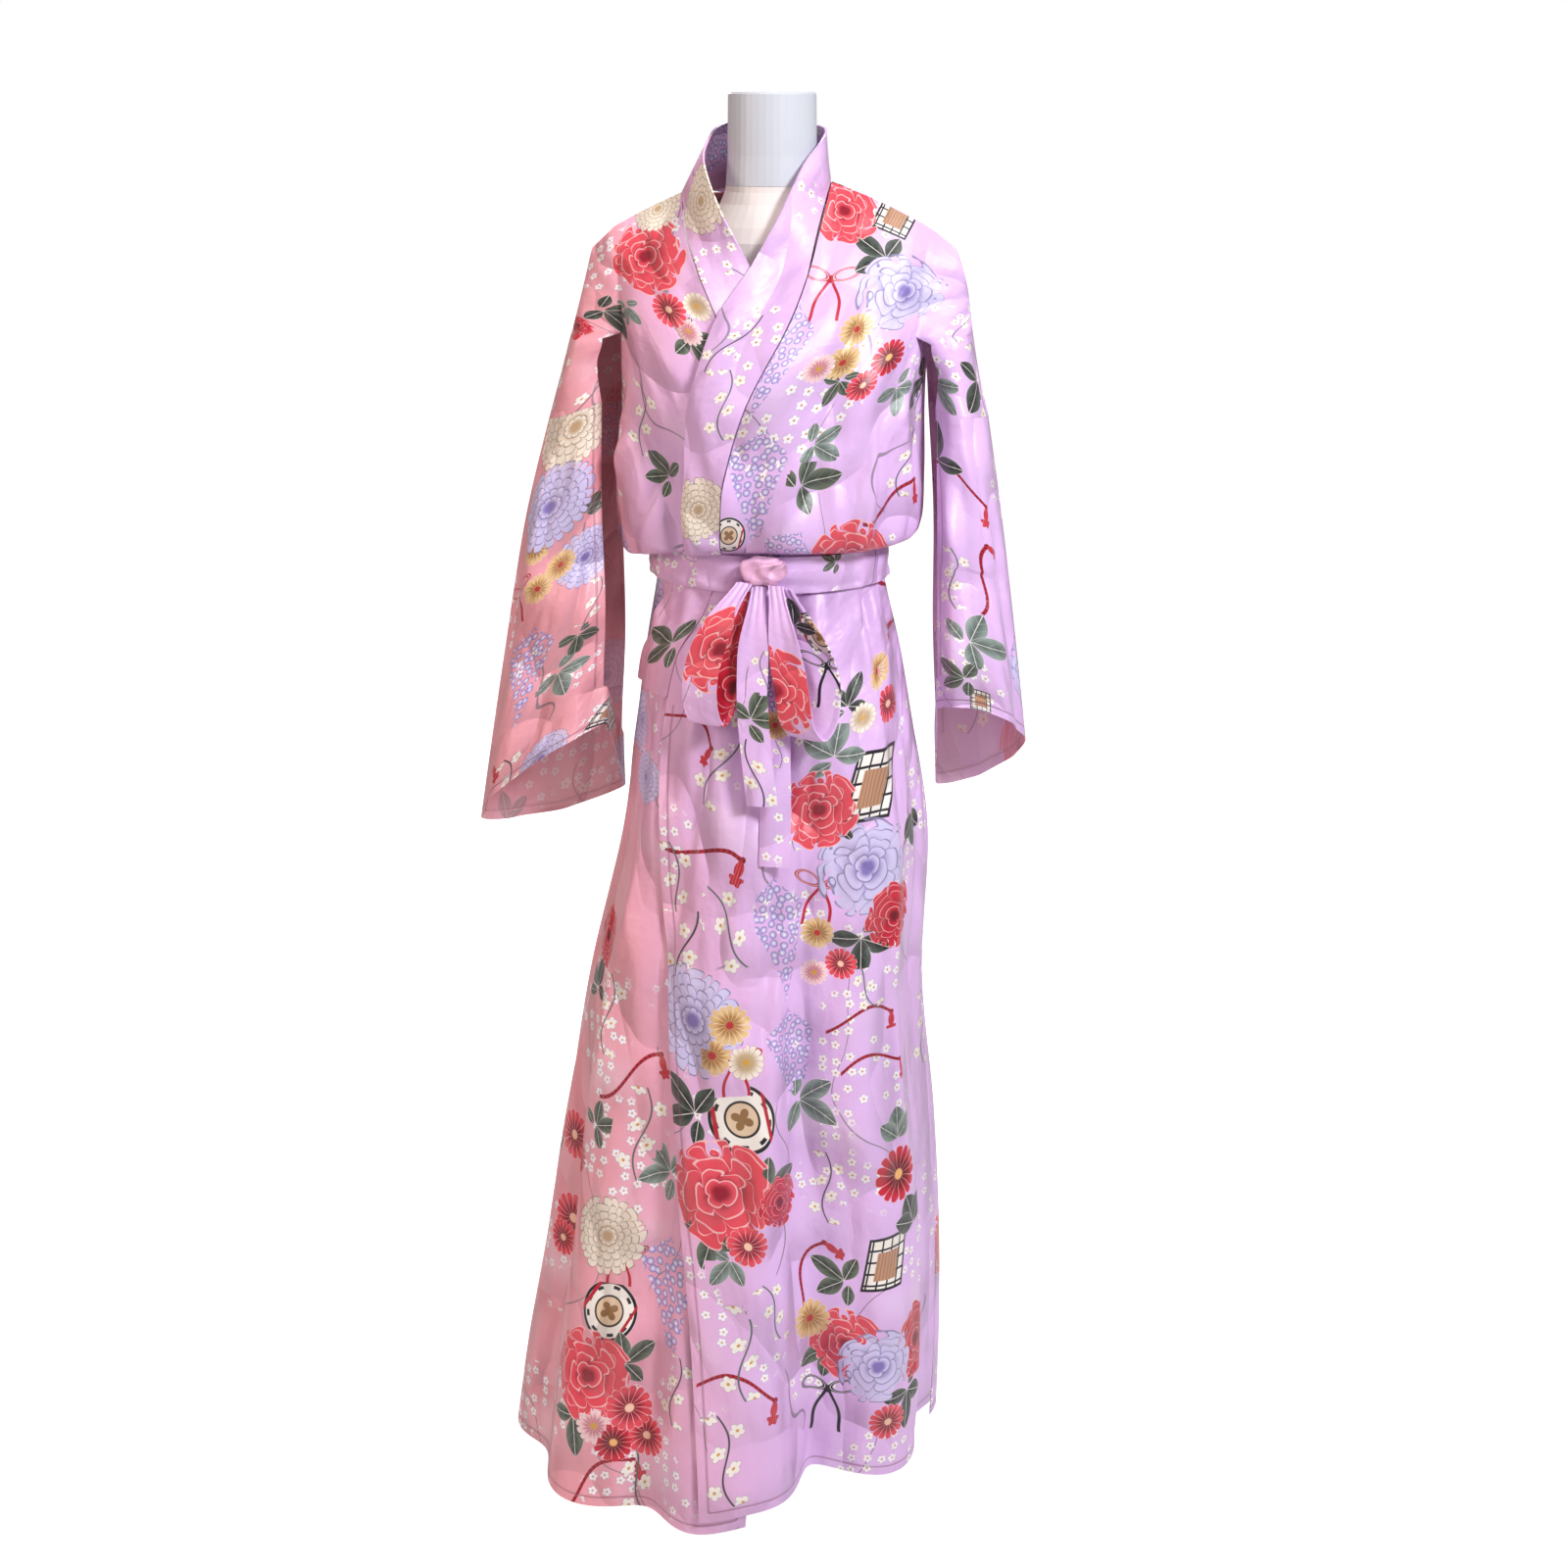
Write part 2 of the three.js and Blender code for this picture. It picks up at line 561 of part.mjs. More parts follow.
// The back, from one side seam to the other, cut away at the neck, with both shoulder drops.
function back() {
  const around = (level, from, to, count) =>
    steps(from, to, count).map((angle) => {
      const point = bodyPoint(level, angle);
      if (level === TOP) point.y += RIDGE_GAP / 2;
      return point;
    });
  const lowRow = (level) => [
    ...around(level, SIDE + SEAM_ANGLE, 180 - CREASE, 3),
    ...around(level, 180 - CREASE, 180 + CREASE, BACK_COLUMNS).slice(1),
    ...around(level, 180 + CREASE, 360 - SIDE - SEAM_ANGLE, 3).slice(1),
  ];
  const low = LOW_LEVELS.map(lowRow);
  const yoke = steps(LEVEL.armpit, NAPE_LEVEL, 4);
  const middle = yoke.map((level) => around(level, 180 - CREASE, 180 + CREASE, BACK_COLUMNS));
  const horn = steps(NAPE_LEVEL, TOP, 4);
  const leftHorn = horn.map((level) => around(level, 180 - CREASE, neckAngle(level, 1), NAPE_COLUMN));
  const rightHorn = horn.map((level) => around(level, neckAngle(level, -1), 180 + CREASE, NAPE_COLUMN));
  const creaseLevels = [...yoke, ...horn.slice(1)];
  const dropLeft = dropRows(DROP_LEFT, 1, -1, creaseLevels);
  const dropRight = dropRows(DROP_RIGHT, -1, -1, creaseLevels);
  return wallSolid(
    [
      ...gridQuads(low),
      ...gridQuads(middle),
      ...gridQuads(leftHorn),
      ...gridQuads(rightHorn),
      ...gridQuads(towardFree(dropLeft)),
      ...gridQuads(dropRight),
    ],
    CLOTH,
  );
}

// A sleeve: a flat tube from the dropped seam to the cuff, with its inner side open down to the foot of
// the slit.
function sleeve(table, hand, slitFoot) {
  const last = table.length - 1;
  const seamPlace = DROP_GAP / (table[0].z - table[1].z);
  const places = steps(seamPlace, last, 12);
  const wallTurns = steps(-SLIT, SLIT, 18);
  const innerTurns = steps(SLIT, 360 - SLIT, 4);
  const rowsOf = (turns) =>
    places.map((place) => turns.map((turn) => sleevePoint(rowAt(table, place), turn, hand)));
  const fromFoot = (rows) => [...rows].reverse();
  const wall = gridQuads(fromFoot(rowsOf(wallTurns)));
  const closedRows = places.filter((place) => place / last >= slitFoot).length;
  const inner = gridQuads(fromFoot(rowsOf(innerTurns)).slice(0, closedRows));
  const quads = [...wall, ...inner];
  return wallSolid(hand > 0 ? quads.map((quad) => [...quad].reverse()) : quads, CLOTH);
}

// The collar band: up the over front, round the neck and down the under front.
function collarBand() {
  const crossing = LEVEL.chest;
  const station = (level, seamName, edgeName, hand, lift) => {
    const row = rowAt(BODY, level);
    const seamAngle = angleAt(level, row[seamName]) - hand * 2 * SEAM_ANGLE;
    const edgeAngle = angleAt(level, row[edgeName]);
    return steps(seamAngle, edgeAngle, 3).map((angle) => bodyPoint(level, angle, lift));
  };
  const neckRow = (seam, edge) =>
    steps(COLLAR_GAP / seam.distanceTo(edge), 1, 3).map((share) => new THREE.Vector3().lerpVectors(seam, edge, share));
  const seamPoint = (level, seamName, hand, lift) => {
    const angle = angleAt(level, rowAt(BODY, level)[seamName]) - hand * 2 * SEAM_ANGLE;
    return bodyPoint(level, angle, lift);
  };
  const edgePoint = (row) => new THREE.Vector3(row.x, row.y, row.z);
  const hornSeam = (level, hand) => bodyPoint(level, neckAngle(level, hand));
  const half = (NAPE_LEVEL + TOP) / 2;
  const bandLevels = [...LOW_LEVELS, ...HIGH_LEVELS.slice(1)].filter(
    (level) => level >= BAND_END && level <= crossing,
  );
  const over = bandLevels.map((level) => station(level, 'overSeam', 'overEdge', 1, OVERLAP_LIFT));
  const under = bandLevels.map((level) => station(level, 'underSeam', 'underEdge', -1, 0)).reverse();
  const edges = Object.fromEntries(NECK_EDGE.map((row) => [row.name, edgePoint(row)]));
  const bone = LEVEL.collarbone;
  const slope = LEVEL.shoulderSlope;
  const keys = [
    over[over.length - 1],
    neckRow(seamPoint(bone, 'overSeam', 1, overLift(0, bone)), edges.leftBone),
    neckRow(seamPoint(slope, 'overSeam', 1, 0), edges.leftNeck),
    neckRow(seamPoint(TOP, 'overSeam', 1, 0), edges.leftSide),
    neckRow(hornSeam(half, 1), edges.leftBack),
    neckRow(hornSeam(NAPE_LEVEL, 1), edges.leftNape),
    neckRow(bodyPoint(NAPE_LEVEL, 180), edges.nape),
    neckRow(hornSeam(NAPE_LEVEL, -1), edges.rightNape),
    neckRow(hornSeam(half, -1), edges.rightBack),
    neckRow(seamPoint(TOP, 'underSeam', -1, 0), edges.rightSide),
    neckRow(seamPoint(slope, 'underSeam', -1, 0), edges.rightNeck),
    neckRow(seamPoint(bone, 'underSeam', -1, 0), edges.rightBone),
    under[0],
  ];
  const curveOf = (corner) => new THREE.CatmullRomCurve3(keys.map((row) => row[corner]), false, 'centripetal');
  const curves = [0, 1, 2, 3].map(curveOf);
  const neck = steps(0, 1, 30).map((share) => curves.map((curve) => curve.getPoint(share)));
  neck[0] = keys[0];
  neck[neck.length - 1] = keys[keys.length - 1];
  const rows = [...over.slice(0, -1), ...neck, ...under.slice(1)];
  return wallSolid(gridQuads(towardFree(rows)), BAND_WALL);
}

// ---------------------------------------------------------------- the sash and its bow

function sash() {
  const levels = steps(LEVEL.sashFoot - SASH_DROP, LEVEL.sashHead - SASH_TUCK, 3);
  const ring = steps(-180, 180, 48);
  const rows = levels.map((level) =>
    ring.map((angle) => bodyPoint(level, angle, mix(SASH_LIFT - OVERLAP_LIFT, SASH_LIFT, frontShare(angle)))),
  );
  return wallSolid(gridQuads(rows), BAND_WALL);
}

// How much of the overlap lies under the sash at an angle.
const frontShare = (angle) => smooth(-150, -80, angle) * (1 - smooth(55, 120, angle));

// A tied strip along a centre line, its width along faces, narrowed where it enters the knot.
function strip(table, width, faces, count, pinch) {
  const places = table.map((row) => {
    const level = levelAt(row.z);
    const cloth = bodyPoint(level, angleAt(level, row.x), OVERLAP_LIFT);
    return new THREE.Vector3(row.x, cloth.y - row.clear, row.z);
  });
  const line = new THREE.CatmullRomCurve3(places, false, 'centripetal');
  const across = faces.clone().normalize();
  const rows = steps(0, 1, count).map((share) => {
    const middle = line.getPoint(share);
    const half = (width / 2) * pinch(share);
    return steps(-half, half, 3).map((offset) => middle.clone().addScaledVector(across, offset));
  });
  return wallSolid(gridQuads(rows), BAND_WALL);
}

const pinchBothEnds = (share) => mix(0.42, 1, smooth(0, 0.22, Math.min(share, 1 - share)));
const pinchStart = (share) => mix(0.45, 1, smooth(0, 0.3, share));

function knot() {
  const shape = new THREE.SphereGeometry(1, 20, 12);
  const place = shape.attributes.position;
  for (let i = 0; i < place.count; i += 1) {
    const point = new THREE.Vector3().fromBufferAttribute(place, i);
    const squared = point.toArray().map((value) => Math.sign(value) * Math.abs(value) ** 0.75);
    place.setXYZ(
      i,
      KNOT.x + (squared[0] * KNOT.width) / 2,
      KNOT.y + squared[1] * KNOT.depth / 2,
      KNOT.z + (squared[2] * KNOT.height) / 2,
    );
  }
  return shape;
}

// ---------------------------------------------------------------- the dress form and its stand

function torso() {
  const around = 32;
  const rings = steps(0, TORSO.length - 1, 18).map((place) => {
    const row = rowAt(TORSO, place);
    return steps(0, 360, around)
      .slice(0, -1)
      .map((angle) => {
        const toLeft = Math.sin(radians(angle));
        const toFront = Math.cos(radians(angle));
        const deep = toFront >= 0 ? row.front : row.back;
        return new THREE.Vector3(row.width * toLeft, -deep * toFront, mix(row.mid, row.side, Math.abs(toLeft) ** 1.6));
      });
  });
  const flare = lathe([[0, NECK_FLARE.at(-1)[1]], ...[...NECK_FLARE].reverse(), [0, NECK_FLARE[0][1]]], 40);
  return joined(ringSolid(rings), flare);
}

// Two closed shapes made one.
function joined(first, second) {
  const [a, b] = [first, second].map((shape) => {
    const bare = shape.clone();
    for (const name of Object.keys(bare.attributes)) if (name !== 'position') bare.deleteAttribute(name);
    const welded = mergeVertices(bare, 1e-3);
    const index = Array.from(welded.index.array);
    const whole = [];
    for (let i = 0; i < index.length; i += 3) {
      const [p, q, r] = index.slice(i, i + 3);
      if (p !== q && q !== r && r !== p) whole.push(p, q, r);
    }
    return new wasm.Manifold(
      new wasm.Mesh({
        numProp: 3,
        vertProperties: new Float32Array(welded.attributes.position.array),
        triVerts: new Uint32Array(whole),
      }),
    );
  });
  const mesh = a.add(b).getMesh();
  const geometry = new THREE.BufferGeometry();
  geometry.setAttribute('position', new THREE.BufferAttribute(new Float32Array(mesh.vertProperties), mesh.numProp));
  geometry.setIndex(Array.from(mesh.triVerts));
  geometry.computeVertexNormals();
  return geometry;
}

// A closed solid through rings of points, with flat ends.
function ringSolid(rings) {
  const around = rings[0].length;
  const centre = (ring) => ring.reduce((sum, p) => sum.add(p), new THREE.Vector3()).divideScalar(around);
  const points = [...rings.flat(), centre(rings[0]), centre(rings[rings.length - 1])];
  const bottom = points.length - 2;
  const top = points.length - 1;
  const triangles = [];
  for (let r = 0; r + 1 < rings.length; r += 1) {
    for (let c = 0; c < around; c += 1) {
      const next = (c + 1) % around;
      const [a, b] = [r * around + c, r * around + next];
      const [d, e] = [a + around, b + around];
      triangles.push([a, b, e], [a, e, d]);
    }
  }
  for (let c = 0; c < around; c += 1) {
    const next = (c + 1) % around;
    const lastRing = (rings.length - 1) * around;
    triangles.push([bottom, next, c], [top, lastRing + c, lastRing + next]);
  }
  return solidOf(points, triangles);
}

function lathe(profile, segments) {
  const geometry = new THREE.LatheGeometry(profile.map(([r, z]) => new THREE.Vector2(r, z)), segments);
  geometry.rotateX(Math.PI / 2);
  return geometry;
}

const neckBlock = () =>
  lathe([[0, NECK_FOOT], [NECK_RADIUS + 3, NECK_FOOT], [NECK_RADIUS + 1, NECK_FOOT + 30], [NECK_RADIUS, NECK_TOP - 2],
    [NECK_RADIUS - 2, NECK_TOP], [0, NECK_TOP]], 40);

const base = () =>
  lathe([[0, 0], [BASE_RADIUS, 0], [BASE_RADIUS, BASE_HEIGHT - BASE_EDGE], [BASE_RADIUS - BASE_EDGE, BASE_HEIGHT],
    [0, BASE_HEIGHT]], 48);

const pole = () =>
  lathe([[0, BASE_HEIGHT + SEAM_GAP], [POLE_RADIUS, BASE_HEIGHT + SEAM_GAP], [POLE_RADIUS, TORSO[0].mid - SEAM_GAP],
    [0, TORSO[0].mid - SEAM_GAP]], 20);

// ---------------------------------------------------------------- materials and assembly

const satin = () => new THREE.MeshStandardMaterial({ color: 0xd3929a, roughness: 0.38, metalness: 0 });
const jersey = () => new THREE.MeshStandardMaterial({ color: 0xf1efec, roughness: 0.8, metalness: 0 });
const paintedSteel = () => new THREE.MeshStandardMaterial({ color: 0xe9e8e6, roughness: 0.45, metalness: 0.1 });

function piece(name, geometry, material) {
  const mesh = new THREE.Mesh(geometry, material);
  mesh.name = name;
  return mesh;
}

const OVER_HEM_RISE = 22; // the over front hangs this much shorter

const robe = new THREE.Group();
robe.add(
  piece('back', back(), satin()),
  piece('front_right', front(-1, DROP_RIGHT, 'underSeam', 0), satin()),
  piece('front_left', front(1, DROP_LEFT, 'overSeam', OVER_HEM_RISE), satin()),
  piece('collar_band', collarBand(), satin()),
  piece('sleeve_right', sleeve(SLEEVE_RIGHT, -1, SLIT_FOOT_RIGHT), satin()),
  piece('sleeve_left', sleeve(SLEEVE_LEFT, 1, SLIT_FOOT_LEFT), satin()),
  piece('sash', sash(), satin()),
  piece('sash_knot', knot(), satin()),
  piece('sash_loop_right', strip(LOOP_RIGHT, LOOP_WIDTH, LOOP_RIGHT_FACES, 24, pinchBothEnds), satin()),
  piece('sash_loop_left', strip(LOOP_LEFT, LOOP_WIDTH, LOOP_LEFT_FACES, 24, pinchBothEnds), satin()),
  piece('sash_tail_front', strip(TAIL_FRONT, TAIL_WIDTH, TAIL_FRONT_FACES, 12, pinchStart), satin()),
  piece('sash_tail_back', strip(TAIL_BACK, TAIL_WIDTH, TAIL_BACK_FACES, 12, pinchStart), satin()),
);

const form = new THREE.Group();
form.add(
  piece('form_torso', torso(), jersey()),
  piece('form_neck_block', neckBlock(), paintedSteel()),
  piece('stand_pole', pole(), paintedSteel()),
  piece('stand_base', base(), paintedSteel()),
);

const part = new THREE.Group();
part.add(robe, form);

export default part;
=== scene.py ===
"""A full-length satin kimono robe, tied with its own sash, on a limbless dress form.

Metres in Blender, +Z up. The robe faces -Y and the wearer's right is -X. The tables below are in
millimetres and share their columns with the solids: each wall here is the same cloth, with its smaller
creases.
"""

import math

import bmesh
import bpy
import numpy as np
from mathutils import Euler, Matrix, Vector


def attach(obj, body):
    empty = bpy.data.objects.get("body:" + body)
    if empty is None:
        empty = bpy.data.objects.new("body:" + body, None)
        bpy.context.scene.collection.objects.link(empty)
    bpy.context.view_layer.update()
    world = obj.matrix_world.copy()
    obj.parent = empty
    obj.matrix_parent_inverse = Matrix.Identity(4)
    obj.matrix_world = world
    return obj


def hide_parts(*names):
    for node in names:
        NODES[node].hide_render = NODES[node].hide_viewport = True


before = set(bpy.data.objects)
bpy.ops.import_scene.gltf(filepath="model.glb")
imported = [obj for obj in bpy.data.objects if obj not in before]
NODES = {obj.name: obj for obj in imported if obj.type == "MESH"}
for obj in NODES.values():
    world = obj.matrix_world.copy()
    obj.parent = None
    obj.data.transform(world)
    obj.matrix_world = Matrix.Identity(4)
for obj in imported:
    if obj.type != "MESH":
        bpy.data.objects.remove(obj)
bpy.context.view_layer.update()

MM = 0.001
CLOTH = 1.3
DOUBLED = 2.2
OVERLAP_LIFT = 6
OVERLAP_END = 48  # degrees from the front centre where the over front starts to come down
SASH_LIFT = 9.8
SASH_DROP = 0.4
SASH_TUCK = 0.34
SIDE = 90
CREASE = 68
SLIT = 140
INNER_BULGE = 1.02
SEAM_GAP = 0.5
COLLAR_GAP = 2.2
OVER_HEM_RISE = 22
NO_EDGE = 9.0  # metres to an edge that isn't there
WELD = 50  # points closer than a fiftieth of a millimetre are one


def columns(heading, rows):
    """One dict for each row, with the columns named in the heading."""
    names = heading.split()
    return [dict(zip(names, row)) for row in rows]


BODY = columns(
  'name         mid  sideR sideL nape right left front back   x    y  down '
  'overSeam overEdge underSeam underEdge',
  [
    ['hem', 12, 12, 12, 0, 250, 252, 232, 262, -45, -70, 0, -41, -100, 10, 60],
    ['shin', 130, 130, 130, 0, 242, 246, 220, 250, -38, -62, 0, -46, -105, 15, 64],
    ['calf', 270, 270, 270, 0, 228, 234, 205, 232, -29, -50, 0, -56, -110, 22, 70],
    ['knee', 430, 430, 430, 0, 216, 216, 190, 208, -21, -36, 0, -74, -120, 32, 78],
    ['thigh', 600, 600, 600, 0, 196, 192, 175, 186, -14, -23, 0, -91, -130, 40, 84],
    ['hip', 780, 780, 780, 0, 168, 184, 162, 160, -2, -12, 0, -102, -145, 48, 90],
    ['bandEnd', 905, 905, 905, 0, 156, 164, 146, 142, 0, -6, 0, -103, -147, 54, 96],
    ['belly', 1000, 1000, 1000, 0, 144, 146, 128, 122, 0, -2, 0, -90, -138, 56, 98],
    ['underSash', 1070, 1070, 1070, 0, 132, 128, 108, 104, 0, 0, 0, -56, -108, 54, 98],
    ['sashFoot', 1100, 1100, 1100, 0, 128, 124, 103, 99, 0, 0, 0, -44, -94, 52, 96],
    ['sashHead', 1140, 1140, 1140, 0, 127, 123, 102, 98, 0, 0, 0, -39, -84, 48, 92],
    ['tuck', 1153, 1151, 1153, 0, 136, 132, 108, 104, 0, 0, 1, -38, -82, 47, 90],
    ['pouchFoot', 1141, 1112, 1136, 0, 158, 154, 121, 114, 0, 0, 0.9, -37, -81, 46, 89],
    ['pouch', 1158, 1124, 1150, 0, 170, 166, 132, 120, 0, 0, 0.3, -36, -79, 44, 88],
    ['ribs', 1215, 1200, 1205, 0, 168, 168, 140, 118, 0, 0, 0, -29, -73, 36, 84],
    ['bust', 1290, 1280, 1280, 0, 164, 166, 142, 112, 0, 0, 0, -7, -66, 8, 66],
    ['armpit', 1372, 1352, 1352, 4, 166, 168, 128, 102, 0, 0, 0, 33, -42, -36, 30],
    ['chest', 1425, 1388, 1388, 12, 171, 172, 96, 88, 0, 0, 0, 49, -9, -64, -8],
    ['collarbone', 1470, 1418, 1418, 26, 177, 176, 58, 66, 0, 0, -0.4, 57, 20, -84, -30],
    ['shoulderSlope', 1500, 1440, 1440, 10, 181, 179, 26, 32, 0, 0, -0.7, 61, 40, -92, -45],
    ['shoulderLine', 1518, 1452, 1452, 0, 184, 182, 4, 4, 0, 0, -1, 63, 50, -96, -50],
  ],
)
SKIRT_FOLDS = columns(
  'name        headAngle hemAngle width  depth  head  share',
  [
    ['overNotch', 14, 38, 11, -62, 1000, 0.1],
    ['overLobe', 40, 58, 14, 16, 900, 0.2],
    ['overCrest', -12, -2, 13, 22, 820, 0.1],
    ['edgeValley', -34, -15, 9, -20, 900, 0.2],
    ['underCrest', -48, -38, 15, 34, 900, 0.1],
    ['underValley', -66, -56, 9, -14, 800, 0.1],
    ['rightLobe', -78, -70, 14, 24, 850, 0.1],
    ['leftValley', 72, 80, 9, -16, 850, 0.1],
    ['leftLobe', 98, 98, 13, 14, 850, 0.1],
    ['backOne', 122, 118, 10, -20, 950, 0.1],
    ['backTwo', 142, 138, 10, 18, 950, 0.1],
    ['backThree', 160, 158, 9, -18, 950, 0.1],
    ['backFour', -178, -178, 12, 20, 950, 0.1],
    ['backFive', -158, -156, 9, -18, 950, 0.1],
    ['backSix', -138, -136, 10, 18, 950, 0.1],
    ['backSeven', -116, -114, 11, -20, 950, 0.1],
  ],
)
BLOUSE_FOLDS = columns(
  'name        angle  lean  width depth  foot  head',
  [
    ['rightDiagonal', -44, -30, 8, 9, 1125, 1300],
    ['rightHollow', -28, -10, 7, -7, 1125, 1290],
    ['centreFold', 22, 6, 6, -7, 1140, 1330],
    ['leftFold', 40, 4, 6, 8, 1130, 1310],
    ['leftHollow', 54, 2, 7, -8, 1125, 1290],
    ['backLeft', 150, 0, 10, 7, 1125, 1330],
    ['backRight', -150, 0, 10, 7, 1125, 1330],
    ['backMiddle', 180, 0, 10, -7, 1125, 1330],
  ],
)
DROP_RIGHT = columns(
  'name      ridgeX    z  width backWidth depth   y  curl riseFront riseBack lean',
  [
    ['tip', 196, 1437, 0, 0, 0, 0, 90, 0, 0, 0],
    ['shoulder', 207, 1396, 0, 0, 0, 0, 90, 0, 0, 0],
    ['upperArm', 219, 1352, 42, 62, 48, -2, 100, 0, 0, 0],
    ['underarm', 232, 1306, 48, 70, 50, -4, 118, 14, 10, 0],
    ['seam', 247, 1256, 65, 76, 54, -6, SLIT, 22, 12, 0],
  ],
)
SLEEVE_RIGHT = columns(
  'name      ridgeX    z  width backWidth depth   y  curl riseFront riseBack lean',
  [
    ['seam', 247, 1256, 65, 76, 54, -6, SLIT, 22, 12, 0],
    ['elbow', 279, 1140, 95, 102, 58, -10, SLIT, 34, 18, 4],
    ['forearm', 308, 990, 127, 131, 64, -16, SLIT, 60, 30, 12],
    ['wrist', 330, 870, 146, 146, 68, -20, SLIT, 92, 42, 24],
    ['cuff', 346, 778, 162, 162, 70, -24, SLIT, 118, 56, 36],
  ],
)
DROP_LEFT = columns(
  'name      ridgeX    z  width backWidth depth   y  curl riseFront riseBack lean',
  [
    ['tip', 196, 1440, 0, 0, 0, 0, 90, 0, 0, 0],
    ['shoulder', 208, 1402, 0, 0, 0, 0, 90, 0, 0, 0],
    ['upperArm', 216, 1352, 40, 58, 46, 0, 100, 0, 0, 0],
    ['underarm', 225, 1306, 42, 60, 48, 0, 118, 8, 6, 0],
    ['seam', 235, 1268, 54, 66, 52, 0, SLIT, 10, 6, 0],
  ],
)
SLEEVE_LEFT = columns(
  'name      ridgeX    z  width backWidth depth   y  curl riseFront riseBack lean',
  [
    ['seam', 235, 1268, 54, 66, 52, 0, SLIT, 10, 6, 0],
    ['elbow', 254, 1160, 68, 76, 56, 0, SLIT, 12, -4, 4],
    ['forearm', 271, 1050, 82, 90, 60, -2, SLIT, 14, -18, 14],
    ['wrist', 284, 960, 92, 96, 64, -4, SLIT, 16, -34, 30],
    ['cuff', 292, 902, 98, 100, 66, -6, SLIT, 18, -46, 44],
  ],
)
NECK_EDGE = columns(
  'name            x    y     z',
  [
    ['leftBone', 19, -84, 1477],
    ['leftNeck', 39, -44, 1525],
    ['leftSide', 54, -4, 1550],
    ['leftBack', 54, 20, 1558],
    ['leftNape', 42, 46, 1562],
    ['nape', -2, 62, 1566],
    ['rightNape', -46, 46, 1566],
    ['rightBack', -62, 22, 1560],
    ['rightSide', -67, -5, 1548],
    ['rightNeck', -65, -45, 1528],
    ['rightBone', -41, -86, 1481],
  ],
)
LOOP_RIGHT = columns(
  'name       x     z  clear',
  [
    ['knotFront', 23, 1104.7, 33],
    ['front', 32, 1058, 46],
    ['lowFront', 44, 1000, 46],
    ['bottomFront', 52, 960, 42],
    ['bottom', 63, 947, 38],
    ['bottomBack', 74, 962, 30],
    ['lowBack', 74, 1006, 26],
    ['back', 56, 1056, 26],
    ['knotBack', 32, 1099, 22],
  ],
)
LOOP_LEFT = columns(
  'name       x     z  clear',
  [
    ['knotFront', -11, 1105.7, 27],
    ['front', -34, 1070, 44],
    ['lowFront', -54, 1012, 44],
    ['bottomFront', -54, 974, 38],
    ['bottom', -47, 957, 30],
    ['bottomBack', -38, 970, 22],
    ['lowBack', -32, 1012, 16],
    ['back', -24, 1060, 15],
    ['knotBack', -14, 1094, 15],
  ],
)
TAIL_FRONT = columns(
  'name       x     z  clear',
  [
    ['knot', 4, 1101.3, 22.5],
    ['high', 1, 1040, 28],
    ['middle', 3, 975, 28],
    ['low', 9, 920, 26],
    ['end', 15, 872, 25],
  ],
)
TAIL_BACK = columns(
  'name       x     z  clear',
  [
    ['knot', 15, 1100.5, 16],
    ['high', 19, 1030, 16],
    ['middle', 24, 950, 16],
    ['low', 27, 870, 16],
    ['end', 28, 800, 17],
  ],
)

LEVEL = {row["name"]: index for index, row in enumerate(BODY)}
TOP = len(BODY) - 1
NAPE_LEVEL = LEVEL["collarbone"] + 0.1
NAPE_SHARE = 14 / 18
KNOT = dict(x=8, y=-126.3, z=1117, width=50, height=32, depth=26)
KNOT_ROUNDING, KNOT_EASE = 0.78, 0.97
SLIT_FOOT = 0.8
FOLD_FADE = 100  # height over which a fold of the skirt dies out above its head
SASH_FOOT_HEIGHT = 1100
GATHER_RISE, GATHER_REACH, GATHER_DEPTH, GATHER_DROP = 30, 130, 2.8, 0.9
POUCH_REACH, POUCH_DEPTH = 0.9, 0.9

